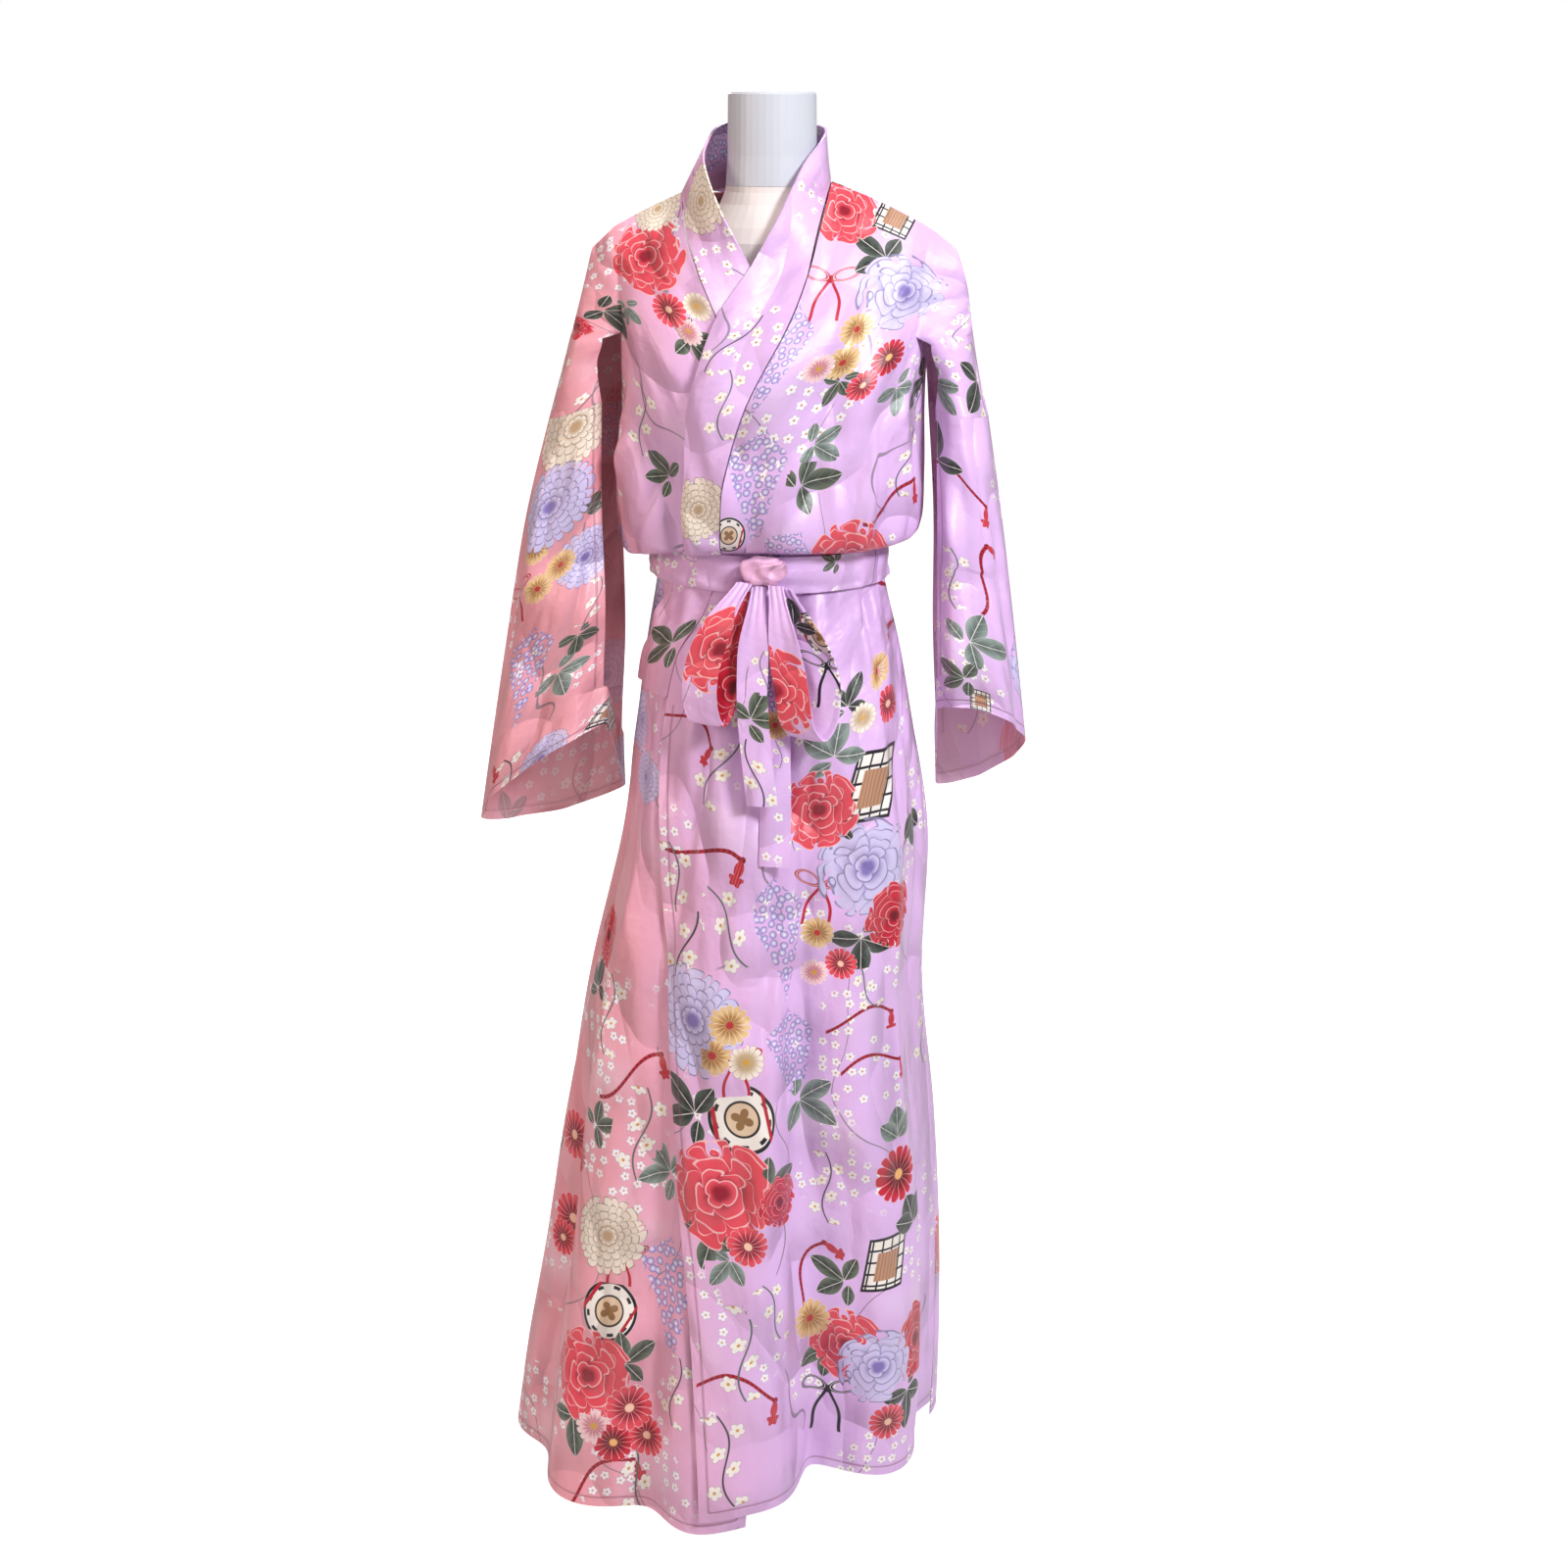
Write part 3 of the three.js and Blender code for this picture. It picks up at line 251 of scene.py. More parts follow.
# Finer creases of the blouse and skirt: soft ridges (or troughs, when negative) that run between two heights.
# from and to are degrees round the body at the crease's foot and head, width its half width in degrees.
CREASE_GAIN = 2.0
FINE_CREASES = columns(
    "name            foot  head  from   to  width depth",
    [
        ["sideDraw", 1150, 1290, -86, -50, 4.5, 3.0],
        ["pouchDraw", 1135, 1262, -60, -30, 4.0, -3.2],
        ["waistDraw", 1150, 1240, -22, -34, 3.5, 2.6],
        ["crossDraw", 1165, 1330, -6, -24, 4.0, 2.2],
        ["bandDraw", 1150, 1270, 12, 26, 3.2, -2.4],
        ["middleFold", 1145, 1345, 30, 24, 3.4, 3.0],
        ["nextFold", 1150, 1300, 47, 48, 3.0, -2.6],
        ["sideFold", 1145, 1330, 66, 60, 3.6, 2.8],
        ["underArm", 1200, 1350, 84, 70, 4.0, -2.4],
        ["rightUnderArm", 1200, 1345, -84, -66, 4.0, -2.4],
        ["chestPull", 1300, 1420, 40, 24, 6.0, 1.6],
        ["rightChestPull", 1300, 1420, -46, -58, 6.0, 1.6],
        ["backPullOne", 1150, 1330, 128, 140, 4.0, 2.6],
        ["backPullTwo", 1150, 1350, 165, 160, 3.6, -2.6],
        ["backPullThree", 1150, 1340, -172, -166, 3.8, 2.8],
        ["backPullFour", 1150, 1320, -140, -148, 4.0, -2.4],
        ["backPullFive", 1150, 1300, -112, -124, 4.2, 2.2],
        ["wrapFold", 560, 1085, -30, -18, 4.0, -3.0],
        ["edgeFold", 330, 1070, -10, 2, 3.6, 3.2],
        ["knotFold", 520, 1085, 8, 12, 3.0, -2.6],
        ["longFold", 60, 1060, 6, 20, 3.6, 3.6],
        ["overFold", 420, 1080, 34, 30, 3.8, -3.0],
        ["hipFold", 300, 1075, 62, 50, 4.2, 3.2],
        ["sideHipFold", 420, 1060, 84, 72, 4.0, -2.8],
        ["rightHipFold", 360, 1080, -52, -44, 4.2, 3.2],
        ["rightSideFold", 300, 1070, -82, -66, 4.4, -3.0],
        ["rightLowFold", 40, 620, -62, -56, 3.4, -3.6],
        ["lowCrest", 30, 560, -24, -28, 3.2, 3.2],
        ["lowOver", 40, 520, 24, 22, 3.4, -3.4],
        ["lowSide", 40, 480, 70, 66, 3.6, 3.2],
        ["backFoldOne", 200, 1070, 128, 132, 4.4, 3.2],
        ["backFoldTwo", 120, 1080, 150, 152, 4.0, -3.2],
        ["backFoldThree", 260, 1085, 172, 168, 4.2, 3.0],
        ["backFoldFour", 160, 1080, -166, -162, 4.0, -3.0],
        ["backFoldFive", 220, 1075, -146, -150, 4.2, 3.0],
        ["backFoldSix", 160, 1070, -124, -122, 4.4, -3.0],
    ],
)


# ---------------------------------------------------------------- curves and shapes of the cloth


def hermite(start, end, slope_start, slope_end, share):
    s2, s3 = share * share, share**3
    return (
        start * (2 * s3 - 3 * s2 + 1)
        + slope_start * (s3 - 2 * s2 + share)
        + end * (3 * s2 - 2 * s3)
        + slope_end * (s3 - s2)
    )


def row_at(table, place):
    """A row between two rows of a table, on a smooth curve through all of them."""
    last = len(table) - 1
    first = min(max(int(math.floor(place)), 0), last - 1)
    a, b, c, d = [table[min(max(i, 0), last)] for i in range(first - 1, first + 3)]
    share = place - first
    return {
        name: hermite(b[name], c[name], (c[name] - a[name]) / 2, (d[name] - b[name]) / 2, share)
        for name in table[0]
        if name != "name"
    }


def mix(a, b, share):
    return a + (b - a) * share


def smooth(start, end, value):
    share = np.clip((value - start) / (end - start), 0, 1)
    return share * share * (3 - 2 * share)


def bell(distance):
    return np.exp(-distance * distance)


def turn_between(a, b):
    return (a - b + 180) % 360 - 180


def skirt_lift(angles, height):
    lift = np.zeros(len(angles))
    for fold in SKIRT_FOLDS:
        if height > fold["head"] + FOLD_FADE:
            continue
        fall = float(np.clip((fold["head"] - height) / (fold["head"] - BODY[0]["mid"]), 0, 1))
        strength = mix(fold["share"], 1, fall) * (1 - smooth(fold["head"], fold["head"] + FOLD_FADE, height))
        at = mix(fold["headAngle"], fold["hemAngle"], fall)
        lift += fold["depth"] * strength * bell(turn_between(angles, at) / fold["width"])
    return lift


def blouse_lift(angles, height):
    lift = np.zeros(len(angles))
    for fold in BLOUSE_FOLDS:
        if fold["foot"] <= height <= fold["head"]:
            up = (height - fold["foot"]) / (fold["head"] - fold["foot"])
            at = fold["angle"] + fold["lean"] * up
            depth = fold["depth"] * math.sin(math.pi * up) ** 0.8
            lift += depth * bell(turn_between(angles, at) / fold["width"])
    return lift


def waves_of(angles, first, second):
    """Two waves round the body, the second lower; each has its number in a turn and its start in degrees."""
    high, low = (np.sin(np.radians(angles * count + start)) for count, start in (first, second))
    return high + 0.7 * low


def fine_lift(level, angles, height):
    """The small creases, and the gathers that the sash draws in above and below it."""
    lift = np.zeros(len(angles))
    for fold in FINE_CREASES:
        above = fold["head"] > SASH_FOOT_HEIGHT
        if fold["foot"] <= height <= fold["head"] and above == (level > LEVEL["tuck"]):
            up = (height - fold["foot"]) / (fold["head"] - fold["foot"])
            at = mix(fold["from"], fold["to"], up)
            depth = CREASE_GAIN * fold["depth"] * math.sin(math.pi * up) ** 0.7
            lift += depth * bell(turn_between(angles, at) / fold["width"])
    if level < LEVEL["sashFoot"]:
        below = SASH_FOOT_HEIGHT - height
        near = math.exp(-((below / GATHER_REACH) ** 2)) * float(smooth(0, GATHER_RISE, below))
        lift += GATHER_DEPTH * near * (waves_of(angles, (17, 0), (29, 40)) - GATHER_DROP)
    elif level > LEVEL["tuck"]:
        near = math.exp(-(((level - LEVEL["pouch"]) / POUCH_REACH) ** 2))
        lift += POUCH_DEPTH * near * waves_of(angles, (15, 20), (26, 0))
    return lift


def body_points(level, angles, lift=0.0):
    """Points of the robe's body at a level of the table, at angles in degrees from the front centre."""
    row = row_at(BODY, level)
    angles = np.asarray(angles, dtype=float)
    left, ahead = np.sin(np.radians(angles)), np.cos(np.radians(angles))
    half = np.where(left >= 0, row["left"], row["right"])
    deep = np.where(ahead >= 0, row["front"], row["back"])
    side = np.where(left >= 0, row["sideL"], row["sideR"])
    folds = 0
    if level < LEVEL["sashFoot"]:
        folds = skirt_lift(angles, row["mid"])
    elif level > LEVEL["tuck"]:
        folds = blouse_lift(angles, row["mid"])
    out = folds + fine_lift(level, angles, row["mid"]) + lift * (1 - max(row["down"], 0))
    middle = row["mid"] + np.where(ahead < 0, row["nape"] * ahead * ahead, 0)
    return np.stack(
        [
            row["x"] + (half + out) * left,
            row["y"] - (deep + out) * ahead,
            mix(middle, side, np.abs(left) ** 1.6) - lift * row["down"],
        ],
        axis=1,
    )


def angle_at(level, x):
    """The angle from the front centre where the body's front reaches x."""
    row = row_at(BODY, level)
    half = row["left"] if x >= row["x"] else row["right"]
    return math.degrees(math.asin(min(max((x - row["x"]) / half, -0.98), 0.98)))


def over_lift(angles, level):
    """How far the over front lies out from the under one, which fades before the side seam and shoulder."""
    fade = 1 - smooth(LEVEL["chest"], LEVEL["collarbone"] + 0.6, level)
    return OVERLAP_LIFT * (1 - smooth(OVERLAP_END, SIDE - 2, np.asarray(angles, dtype=float))) * fade


def level_at(height):
    """The place in the body's table of a height up to the sash's head."""
    low, high = float(LEVEL["hem"]), float(LEVEL["sashHead"])
    while high - low > 0.001:
        middle = (low + high) / 2
        low, high = (middle, high) if row_at(BODY, middle)["mid"] < height else (low, middle)
    return low


def smooth_line(points, count):
    """count + 1 points on a centripetal curve through points."""
    points = np.asarray(points, dtype=float)
    ends = np.vstack([2 * points[0] - points[1], points, 2 * points[-1] - points[-2]])
    knots = np.concatenate([[0], np.cumsum(np.linalg.norm(np.diff(ends, axis=0), axis=1) ** 0.5)])
    found = []
    for share in np.linspace(0, len(points) - 1, count + 1):
        i = min(int(share), len(points) - 2)
        p, t = ends[i : i + 4], knots[i : i + 4]
        at = mix(t[1], t[2], share - i)
        a = [((t[k + 1] - at) * p[k] + (at - t[k]) * p[k + 1]) / (t[k + 1] - t[k]) for k in range(3)]
        b = [((t[k + 2] - at) * a[k] + (at - t[k]) * a[k + 1]) / (t[k + 2] - t[k]) for k in range(2)]
        found.append(((t[2] - at) * b[0] + (at - t[1]) * b[1]) / (t[2] - t[1]))
    return np.array(found)


# ---------------------------------------------------------------- cloth walls


def linked(name, data):
    """A new object in the scene."""
    obj = bpy.data.objects.new(name, data)
    bpy.context.scene.collection.objects.link(obj)
    return obj


class Cloth:
    """One cut piece: grids of points (millimetres) with their places on the flat cloth (metres)."""

    def __init__(self):
        self.points, self.flats, self.edges = [], [], []

    def patch(self, rows, flat, edge=None):
        """Rows run up and columns right, seen from outside; edge is the distance to a stitched edge."""
        rows = np.asarray(rows)
        edge = np.full(rows.shape[:2], NO_EDGE) if edge is None else edge
        for values, kept in ((rows, self.points), (flat, self.flats), (edge[..., None], self.edges)):
            corners = [values[:-1, :-1], values[:-1, 1:], values[1:, 1:], values[1:, :-1]]
            kept.append(np.stack(corners, axis=2).reshape(-1, 4, values.shape[2]))

    def build(self, name, thickness):
        points, flats = np.concatenate(self.points), np.concatenate(self.flats)
        edges = np.concatenate(self.edges)[..., 0]
        keys = np.round(points.reshape(-1, 3) * WELD).astype(np.int64)
        _, first, ids = np.unique(keys, axis=0, return_index=True, return_inverse=True)
        places = points.reshape(-1, 3)[first]
        quads = ids.reshape(-1, 4)
        a, b, c, d = (places[quads[:, corner]] for corner in range(4))
        normal = np.cross(c - a, d - b)
        out = np.zeros_like(places)
        for corner in range(4):
            np.add.at(out, quads[:, corner], normal)
        out /= np.maximum(np.linalg.norm(out, axis=1, keepdims=True), 1e-9)
        count = len(places)
        rim_edges = {}
        for q, quad in enumerate(quads):
            for c in range(4):
                pair = (quad[c], quad[(c + 1) % 4])
                if pair[0] == pair[1]:
                    continue
                if rim_edges.pop((pair[1], pair[0]), None) is None:
                    rim_edges[pair] = (q, c)
        rim = np.array([[b, a, count + a, count + b] for a, b in rim_edges])
        rim_from = np.array([[q, (c + 1) % 4, q, c, q, c, q, (c + 1) % 4] for q, c in rim_edges.values()])
        vertices = np.vstack([places + out * thickness / 2, places - out * thickness / 2]) * MM
        faces = np.vstack([quads, quads[:, ::-1] + count, rim])
        rim_flats = np.stack([flats[rim_from[:, 2 * k], rim_from[:, 2 * k + 1]] for k in range(4)], axis=1)
        corner_flats = np.vstack([flats, flats[:, ::-1], rim_flats])
        single = thickness < DOUBLED
        inside = np.zeros(len(faces))
        inside[len(quads) : 2 * len(quads)] = single
        edge_of = np.full(count, NO_EDGE)
        if single:
            np.minimum.at(edge_of, quads.reshape(-1), edges.reshape(-1))
        mesh = bpy.data.meshes.new(name)
        mesh.vertices.add(len(vertices))
        mesh.vertices.foreach_set("co", vertices.astype(np.float32).ravel())
        mesh.loops.add(len(faces) * 4)
        mesh.loops.foreach_set("vertex_index", faces.astype(np.int32).ravel())
        mesh.polygons.add(len(faces))
        mesh.polygons.foreach_set("loop_start", np.arange(0, len(faces) * 4, 4, dtype=np.int32))
        mesh.update(calc_edges=True)
        mesh.polygons.foreach_set("use_smooth", np.ones(len(faces), dtype=bool))
        mesh.uv_layers.new(name="flat").data.foreach_set("uv", corner_flats.astype(np.float32).ravel())
        self.attribute(mesh, "inside", "FLOAT", "FACE", inside)
        self.attribute(mesh, "stitch", "FLOAT", "POINT", np.tile(edge_of, 2))
        # painted shade: the tone that turns the ground warm pink where the robe gets less light
        self.attribute(mesh, "shade_tone", "FLOAT", "POINT", np.tile(shade_tone_of(places), 2))
        facing = np.cross(points[:, 2] - points[:, 0], points[:, 3] - points[:, 1])
        paint(mesh, name, corner_flats, flats, points.mean(axis=1), facing)
        rim_pairs = np.sort([[a + side, b + side] for side in (0, count) for a, b in rim_edges], axis=1)
        pairs = np.zeros(len(mesh.edges) * 2, dtype=np.int32)
        mesh.edges.foreach_get("vertices", pairs)
        pairs = np.sort(pairs.reshape(-1, 2), axis=1).astype(np.int64)
        sharp = np.isin(pairs @ [len(vertices), 1], rim_pairs @ [len(vertices), 1])
        mesh.attributes.new("sharp_edge", "BOOLEAN", "EDGE").data.foreach_set("value", sharp)
        mesh.validate()
        return linked(name, mesh)

    @staticmethod
    def attribute(mesh, name, kind, domain, values):
        field = "vector" if kind == "FLOAT_VECTOR" else "value"
        made = mesh.attributes.new(name, kind, domain)
        made.data.foreach_set(field, np.asarray(values, dtype=np.float32).ravel())


def lengths_across(rows):
    """Distance along each row from its first point."""
    rows = np.asarray(rows)
    steps = np.linalg.norm(np.diff(rows, axis=1), axis=2)
    return np.concatenate([np.zeros((len(rows), 1)), np.cumsum(steps, axis=1)], axis=1) * MM


def lengths_up(rows):
    """Mean distance up the columns to each row."""
    rows = np.asarray(rows)
    steps = np.linalg.norm(np.diff(rows, axis=0), axis=2).mean(axis=1)
    return np.concatenate([[0], np.cumsum(steps)]) * MM


def flat_of(across, up):
    return np.stack([across, np.broadcast_to(np.asarray(up)[:, None], across.shape)], axis=2)


# ---------------------------------------------------------------- the cut pieces

BAND_END = LEVEL["bandEnd"] + 0.62
RIDGE_GAP = 0.7
DROP_GAP = 0.15
SEAM_ANGLE = math.degrees(SEAM_GAP / 2 / BODY[LEVEL["sashHead"]]["front"])
HIGH_ROWS, YOKE_ROWS, HORN_ROWS, DROP_ROWS, SLEEVE_ROWS, NECK_ROWS, SASH_ROWS = 28, 16, 14, 15, 96, 132, 10
FRONT_COLUMNS, SIDE_COLUMNS, BACK_COLUMNS, DROP_COLUMNS = 92, 14, 126, 22
SLEEVE_COLUMNS, SLIT_COLUMNS, SASH_COLUMNS, BAND_COLUMNS = 112, 24, 240, 12


def joined_levels(*spans):
    found = [np.array([spans[0][0]])]
    for start, end, count in spans:
        found.append(np.linspace(start, end, count + 1)[1:])
    return np.concatenate(found)


LOW_LEVELS = joined_levels(
    (LEVEL["hem"], BAND_END, 104),
    (BAND_END, LEVEL["sashFoot"], 26),
    (LEVEL["sashFoot"], LEVEL["tuck"], 8),
    (LEVEL["tuck"], LEVEL["pouch"], 18),
    (LEVEL["pouch"], LEVEL["armpit"], 34),
)
HIGH_LEVELS = np.linspace(LEVEL["armpit"], TOP, HIGH_ROWS + 1)

# Long soft folds down the sleeves. top and cuff are degrees round the sleeve from its ridge there, and from
# and to are the rows of the sleeve's table between which the fold runs.
SLEEVE_FOLDS = columns(
    "name          top  cuff  width depth  from   to",
    [
        ["frontRidge", 62, 50, 13, 4.0, 0.2, 4.0],
        ["frontHollow", 38, 28, 12, -4.5, 0.5, 4.0],
        ["innerHollow", 96, 84, 12, -4.0, 0.0, 3.6],
        ["innerRidge", 118, 112, 10, 3.5, 0.4, 4.0],
        ["elbowPull", 80, 30, 10, 2.5, 0.3, 1.6],
        ["backRidge", -60, -52, 13, 4.0, 0.4, 4.0],
        ["backHollow", -92, -84, 12, -4.5, 0.2, 4.0],
    ],
)


def sleeve_points(row, turns, hand, place=None):
    turns = np.asarray(turns, dtype=float)
    curl = 1 - math.cos(math.radians(row["curl"]))
    inward = np.minimum((1 - np.cos(np.radians(turns))) / curl, INNER_BULGE)
    forward = np.sin(np.radians(turns))
    width = mix(row["backWidth"], row["width"], smooth(-0.6, 0.6, forward))
    rise = np.where(forward >= 0, row["riseFront"], row["riseBack"])
    rounded = mix((row["riseFront"] + row["riseBack"]) / 2, rise, np.minimum(1, np.abs(forward) * 1.6))
    lift = np.zeros(len(turns))
    if place is not None:
        for fold in SLEEVE_FOLDS:
            if fold["from"] < place <= fold["to"] + 1e-9:
                grown = smooth(fold["from"], fold["from"] + 0.8, place)
                at = mix(fold["top"], fold["cuff"], place / 4)
                lift += fold["depth"] * grown * bell(turn_between(turns, at) / fold["width"])
    return np.stack(
        [
            hand * (row["ridgeX"] - width * inward + lift * np.cos(np.radians(turns))),
            row["y"] - (row["depth"] + lift) * forward,
            row["z"] + rounded * inward + row["lean"] * forward,
        ],
        axis=1,
    )


def drop_rows(table, hand, facing, crease_levels):
    """Rows of a shoulder drop from its seam up, from the inner edge or the body's crease to the ridge."""

    def row_points(row):
        seam_turn = math.degrees(math.asin(RIDGE_GAP / 2 / max(row["depth"], RIDGE_GAP)))
        return sleeve_points(row, facing * np.linspace(row["curl"], seam_turn, DROP_COLUMNS + 1), hand)

    free = len(table) - 3
    places = np.linspace(len(table) - 1, free, DROP_ROWS + 1)[:-1]
    rows = [row_points(row_at(table, place)) for place in places]
    for index, level in enumerate(crease_levels):
        row = row_at(table, mix(free, 0, index / (len(crease_levels) - 1)))
        angle = hand * CREASE if facing > 0 else hand * (180 - CREASE)
        lift = float(over_lift([CREASE], level)[0]) if hand > 0 and facing > 0 else 0.0
        crease = body_points(level, [angle], lift)[0]
        if level == TOP:
            crease[1] -= facing * RIDGE_GAP / 2
        row.update(width=row["ridgeX"] - abs(crease[0]), depth=abs(crease[1] - row["y"]), curl=90, lean=0)
        row.update(backWidth=row["width"], riseFront=crease[2] - row["z"], riseBack=crease[2] - row["z"])
        points = row_points(row)
        points[0] = crease
        rows.append(points)
    return np.array(rows)


def drop_flat(rows, joined, crease_across, crease_up, sign):
    """The drop's place on the flat cloth, carried on from the crease of its own panel."""
    across = lengths_across(rows)
    hanging = len(rows) - joined
    up = np.empty(len(rows))
    up[hanging:] = crease_up
    ridge = np.linalg.norm(np.diff(rows[: hanging + 1, -1], axis=0), axis=1)[::-1] * MM
    up[:hanging] = (crease_up[0] - np.cumsum(ridge))[::-1]
    flat = np.empty_like(across)
    flat[hanging:] = crease_across[:, None] + sign * across[hanging:]
    at_ridge = flat[hanging, -1]
    flat[:hanging] = at_ridge - sign * (across[:hanging, -1:] - across[:hanging])
    return flat_of(flat, up)


def front(name, hand, drop_table, seam_name, hem_rise):
    """A front from its band seam or free edge to the side seam, with its shoulder drop."""

    def row_for(level, with_side):
        start = angle_at(level, row_at(BODY, level)[seam_name]) + hand * SEAM_ANGLE
        angles = np.linspace(start, hand * CREASE, FRONT_COLUMNS + 1)
        if with_side:
            side = np.linspace(hand * CREASE, hand * (SIDE - SEAM_ANGLE), SIDE_COLUMNS + 1)
            angles = np.concatenate([angles, side[1:]])
        points = body_points(level, angles, over_lift(angles, level) if hand > 0 else 0.0)
        if level == TOP:
            points[:, 1] -= RIDGE_GAP / 2
        points[:, 2] += hem_rise * (1 - smooth(LEVEL["hem"], LEVEL["shin"], level))
        return points

    low = np.array([row_for(level, True) for level in LOW_LEVELS])
    high = np.array([row_for(level, False) for level in HIGH_LEVELS])
    drop = drop_rows(drop_table, hand, 1, HIGH_LEVELS)
    low_across, high_across = lengths_across(low), lengths_across(high)
    low_up = lengths_up(low)
    high_up = low_up[-1] + lengths_up(high)
    hem = np.broadcast_to(low_up[:, None], low_across.shape)
    free = np.where(LOW_LEVELS[:, None] < BAND_END, low_across, NO_EDGE)
    drop_sheet = drop_flat(drop, len(HIGH_LEVELS), hand * high_across[:, -1], high_up, hand)
    order = slice(None, None, hand)
    cloth = Cloth()
    cloth.patch(low[:, order], flat_of(hand * low_across, low_up)[:, order], np.minimum(hem, free)[:, order])
    cloth.patch(high[:, order], flat_of(hand * high_across, high_up)[:, order])
    cloth.patch(drop[:, order], drop_sheet[:, order])
    return cloth.build(name, CLOTH)


def neck_angle(level, hand):
    """The angle of the back neckline where it climbs to the shoulder line."""
    top = row_at(BODY, TOP)
    foot = CREASE * (1 - NAPE_SHARE)
    seam = top["overSeam"] / top["left"] if hand > 0 else -top["underSeam"] / top["right"]
    head = math.degrees(math.asin(seam))
    return 180 - hand * mix(foot, head, (level - NAPE_LEVEL) / (TOP - NAPE_LEVEL))


def back(name):
    """The back between the side seams, up to the nape and to the shoulder line, with both shoulder drops."""

    def around(level, start, end, count):
        points = body_points(level, np.linspace(start, end, count + 1))
        if level == TOP:
            points[:, 1] += RIDGE_GAP / 2
        return points

    def low_row(level):
        left = around(level, SIDE + SEAM_ANGLE, 180 - CREASE, SIDE_COLUMNS)
        middle = around(level, 180 - CREASE, 180 + CREASE, BACK_COLUMNS)
        right = around(level, 180 + CREASE, 360 - SIDE - SEAM_ANGLE, SIDE_COLUMNS)
        return np.vstack([left, middle[1:], right[1:]])

    wing = round(BACK_COLUMNS * NAPE_SHARE / 2)
    low = np.array([low_row(level) for level in LOW_LEVELS])
    yoke_levels = np.linspace(LEVEL["armpit"], NAPE_LEVEL, YOKE_ROWS + 1)
    horn_levels = np.linspace(NAPE_LEVEL, TOP, HORN_ROWS + 1)
    yoke = np.array([around(level, 180 - CREASE, 180 + CREASE, BACK_COLUMNS) for level in yoke_levels])
    left = np.array([around(level, 180 - CREASE, neck_angle(level, 1), wing) for level in horn_levels])
    right = np.array([around(level, neck_angle(level, -1), 180 + CREASE, wing) for level in horn_levels])
    crease_levels = np.concatenate([yoke_levels, horn_levels[1:]])
    low_across = lengths_across(low)
    low_up = lengths_up(low)
    middle = low_across[:, [low.shape[1] // 2]]
    yoke_across = lengths_across(yoke)
    yoke_across -= yoke_across[:, [yoke.shape[1] // 2]]
    yoke_up = low_up[-1] + lengths_up(yoke)
    horn_up = yoke_up[-1] + lengths_up(left)
    left_across = yoke_across[-1, 0] + lengths_across(left)
    right_across = lengths_across(right)
    right_across += yoke_across[-1, -1] - right_across[:, -1:]
    crease_up = np.concatenate([yoke_up, horn_up[1:]])
    left_crease = np.concatenate([yoke_across[:, 0], left_across[1:, 0]])
    right_crease = np.concatenate([yoke_across[:, -1], right_across[1:, -1]])
    drop_left = drop_rows(DROP_LEFT, 1, -1, crease_levels)
    drop_right = drop_rows(DROP_RIGHT, -1, -1, crease_levels)
    joined = len(crease_levels)
    cloth = Cloth()
    hem = np.broadcast_to(low_up[:, None], low_across.shape)
    cloth.patch(low, flat_of(low_across - middle, low_up), hem)
    cloth.patch(yoke, flat_of(yoke_across, yoke_up))
    cloth.patch(left, flat_of(left_across, horn_up))
    cloth.patch(right, flat_of(right_across, horn_up))
    left_sheet = drop_flat(drop_left, joined, left_crease, crease_up, -1)
    cloth.patch(drop_left[:, ::-1], left_sheet[:, ::-1])
    cloth.patch(drop_right, drop_flat(drop_right, joined, right_crease, crease_up, 1))
    return cloth.build(name, CLOTH)


def sleeve(name, table, hand):
    """A flat tube from the dropped seam to the cuff, its inner side open down to the foot of the slit."""
    last = len(table) - 1
    start = DROP_GAP / (table[0]["z"] - table[1]["z"])
    places = np.linspace(start, last, SLEEVE_ROWS + 1)[::-1]

    def rows_of(turns):
        return np.array([sleeve_points(row_at(table, place), turns, hand, place) for place in places])

    turns = np.linspace(-SLIT, SLIT, SLEEVE_COLUMNS + 1)
    inner_turns = np.linspace(SLIT, 360 - SLIT, SLIT_COLUMNS + 1)
    if hand > 0:
        turns, inner_turns = turns[::-1], inner_turns[::-1]
    wall = rows_of(turns)
    closed = int((places / last >= SLIT_FOOT).sum())
    inner = rows_of(inner_turns)[:closed]
    across = lengths_across(wall)
    half = across.shape[1] // 2
    across = across - across[:, [half]]
    up = np.concatenate([[0], np.cumsum(np.linalg.norm(np.diff(wall[:, half], axis=0), axis=1))]) * MM
    inner_across = across[:closed, -1:] + lengths_across(inner)
    cloth = Cloth()
    slit = np.where(places[:, None] / last < SLIT_FOOT, np.abs(across[:, -1:]) - np.abs(across), NO_EDGE)
    cuff = np.broadcast_to(up[:, None], across.shape)
    cloth.patch(wall, flat_of(across, up), np.minimum(cuff, np.maximum(slit, MM)))
    inner_cuff = np.broadcast_to(up[:closed, None], inner_across.shape)
    cloth.patch(inner, flat_of(inner_across, up[:closed]), inner_cuff)
    return cloth.build(name, CLOTH)


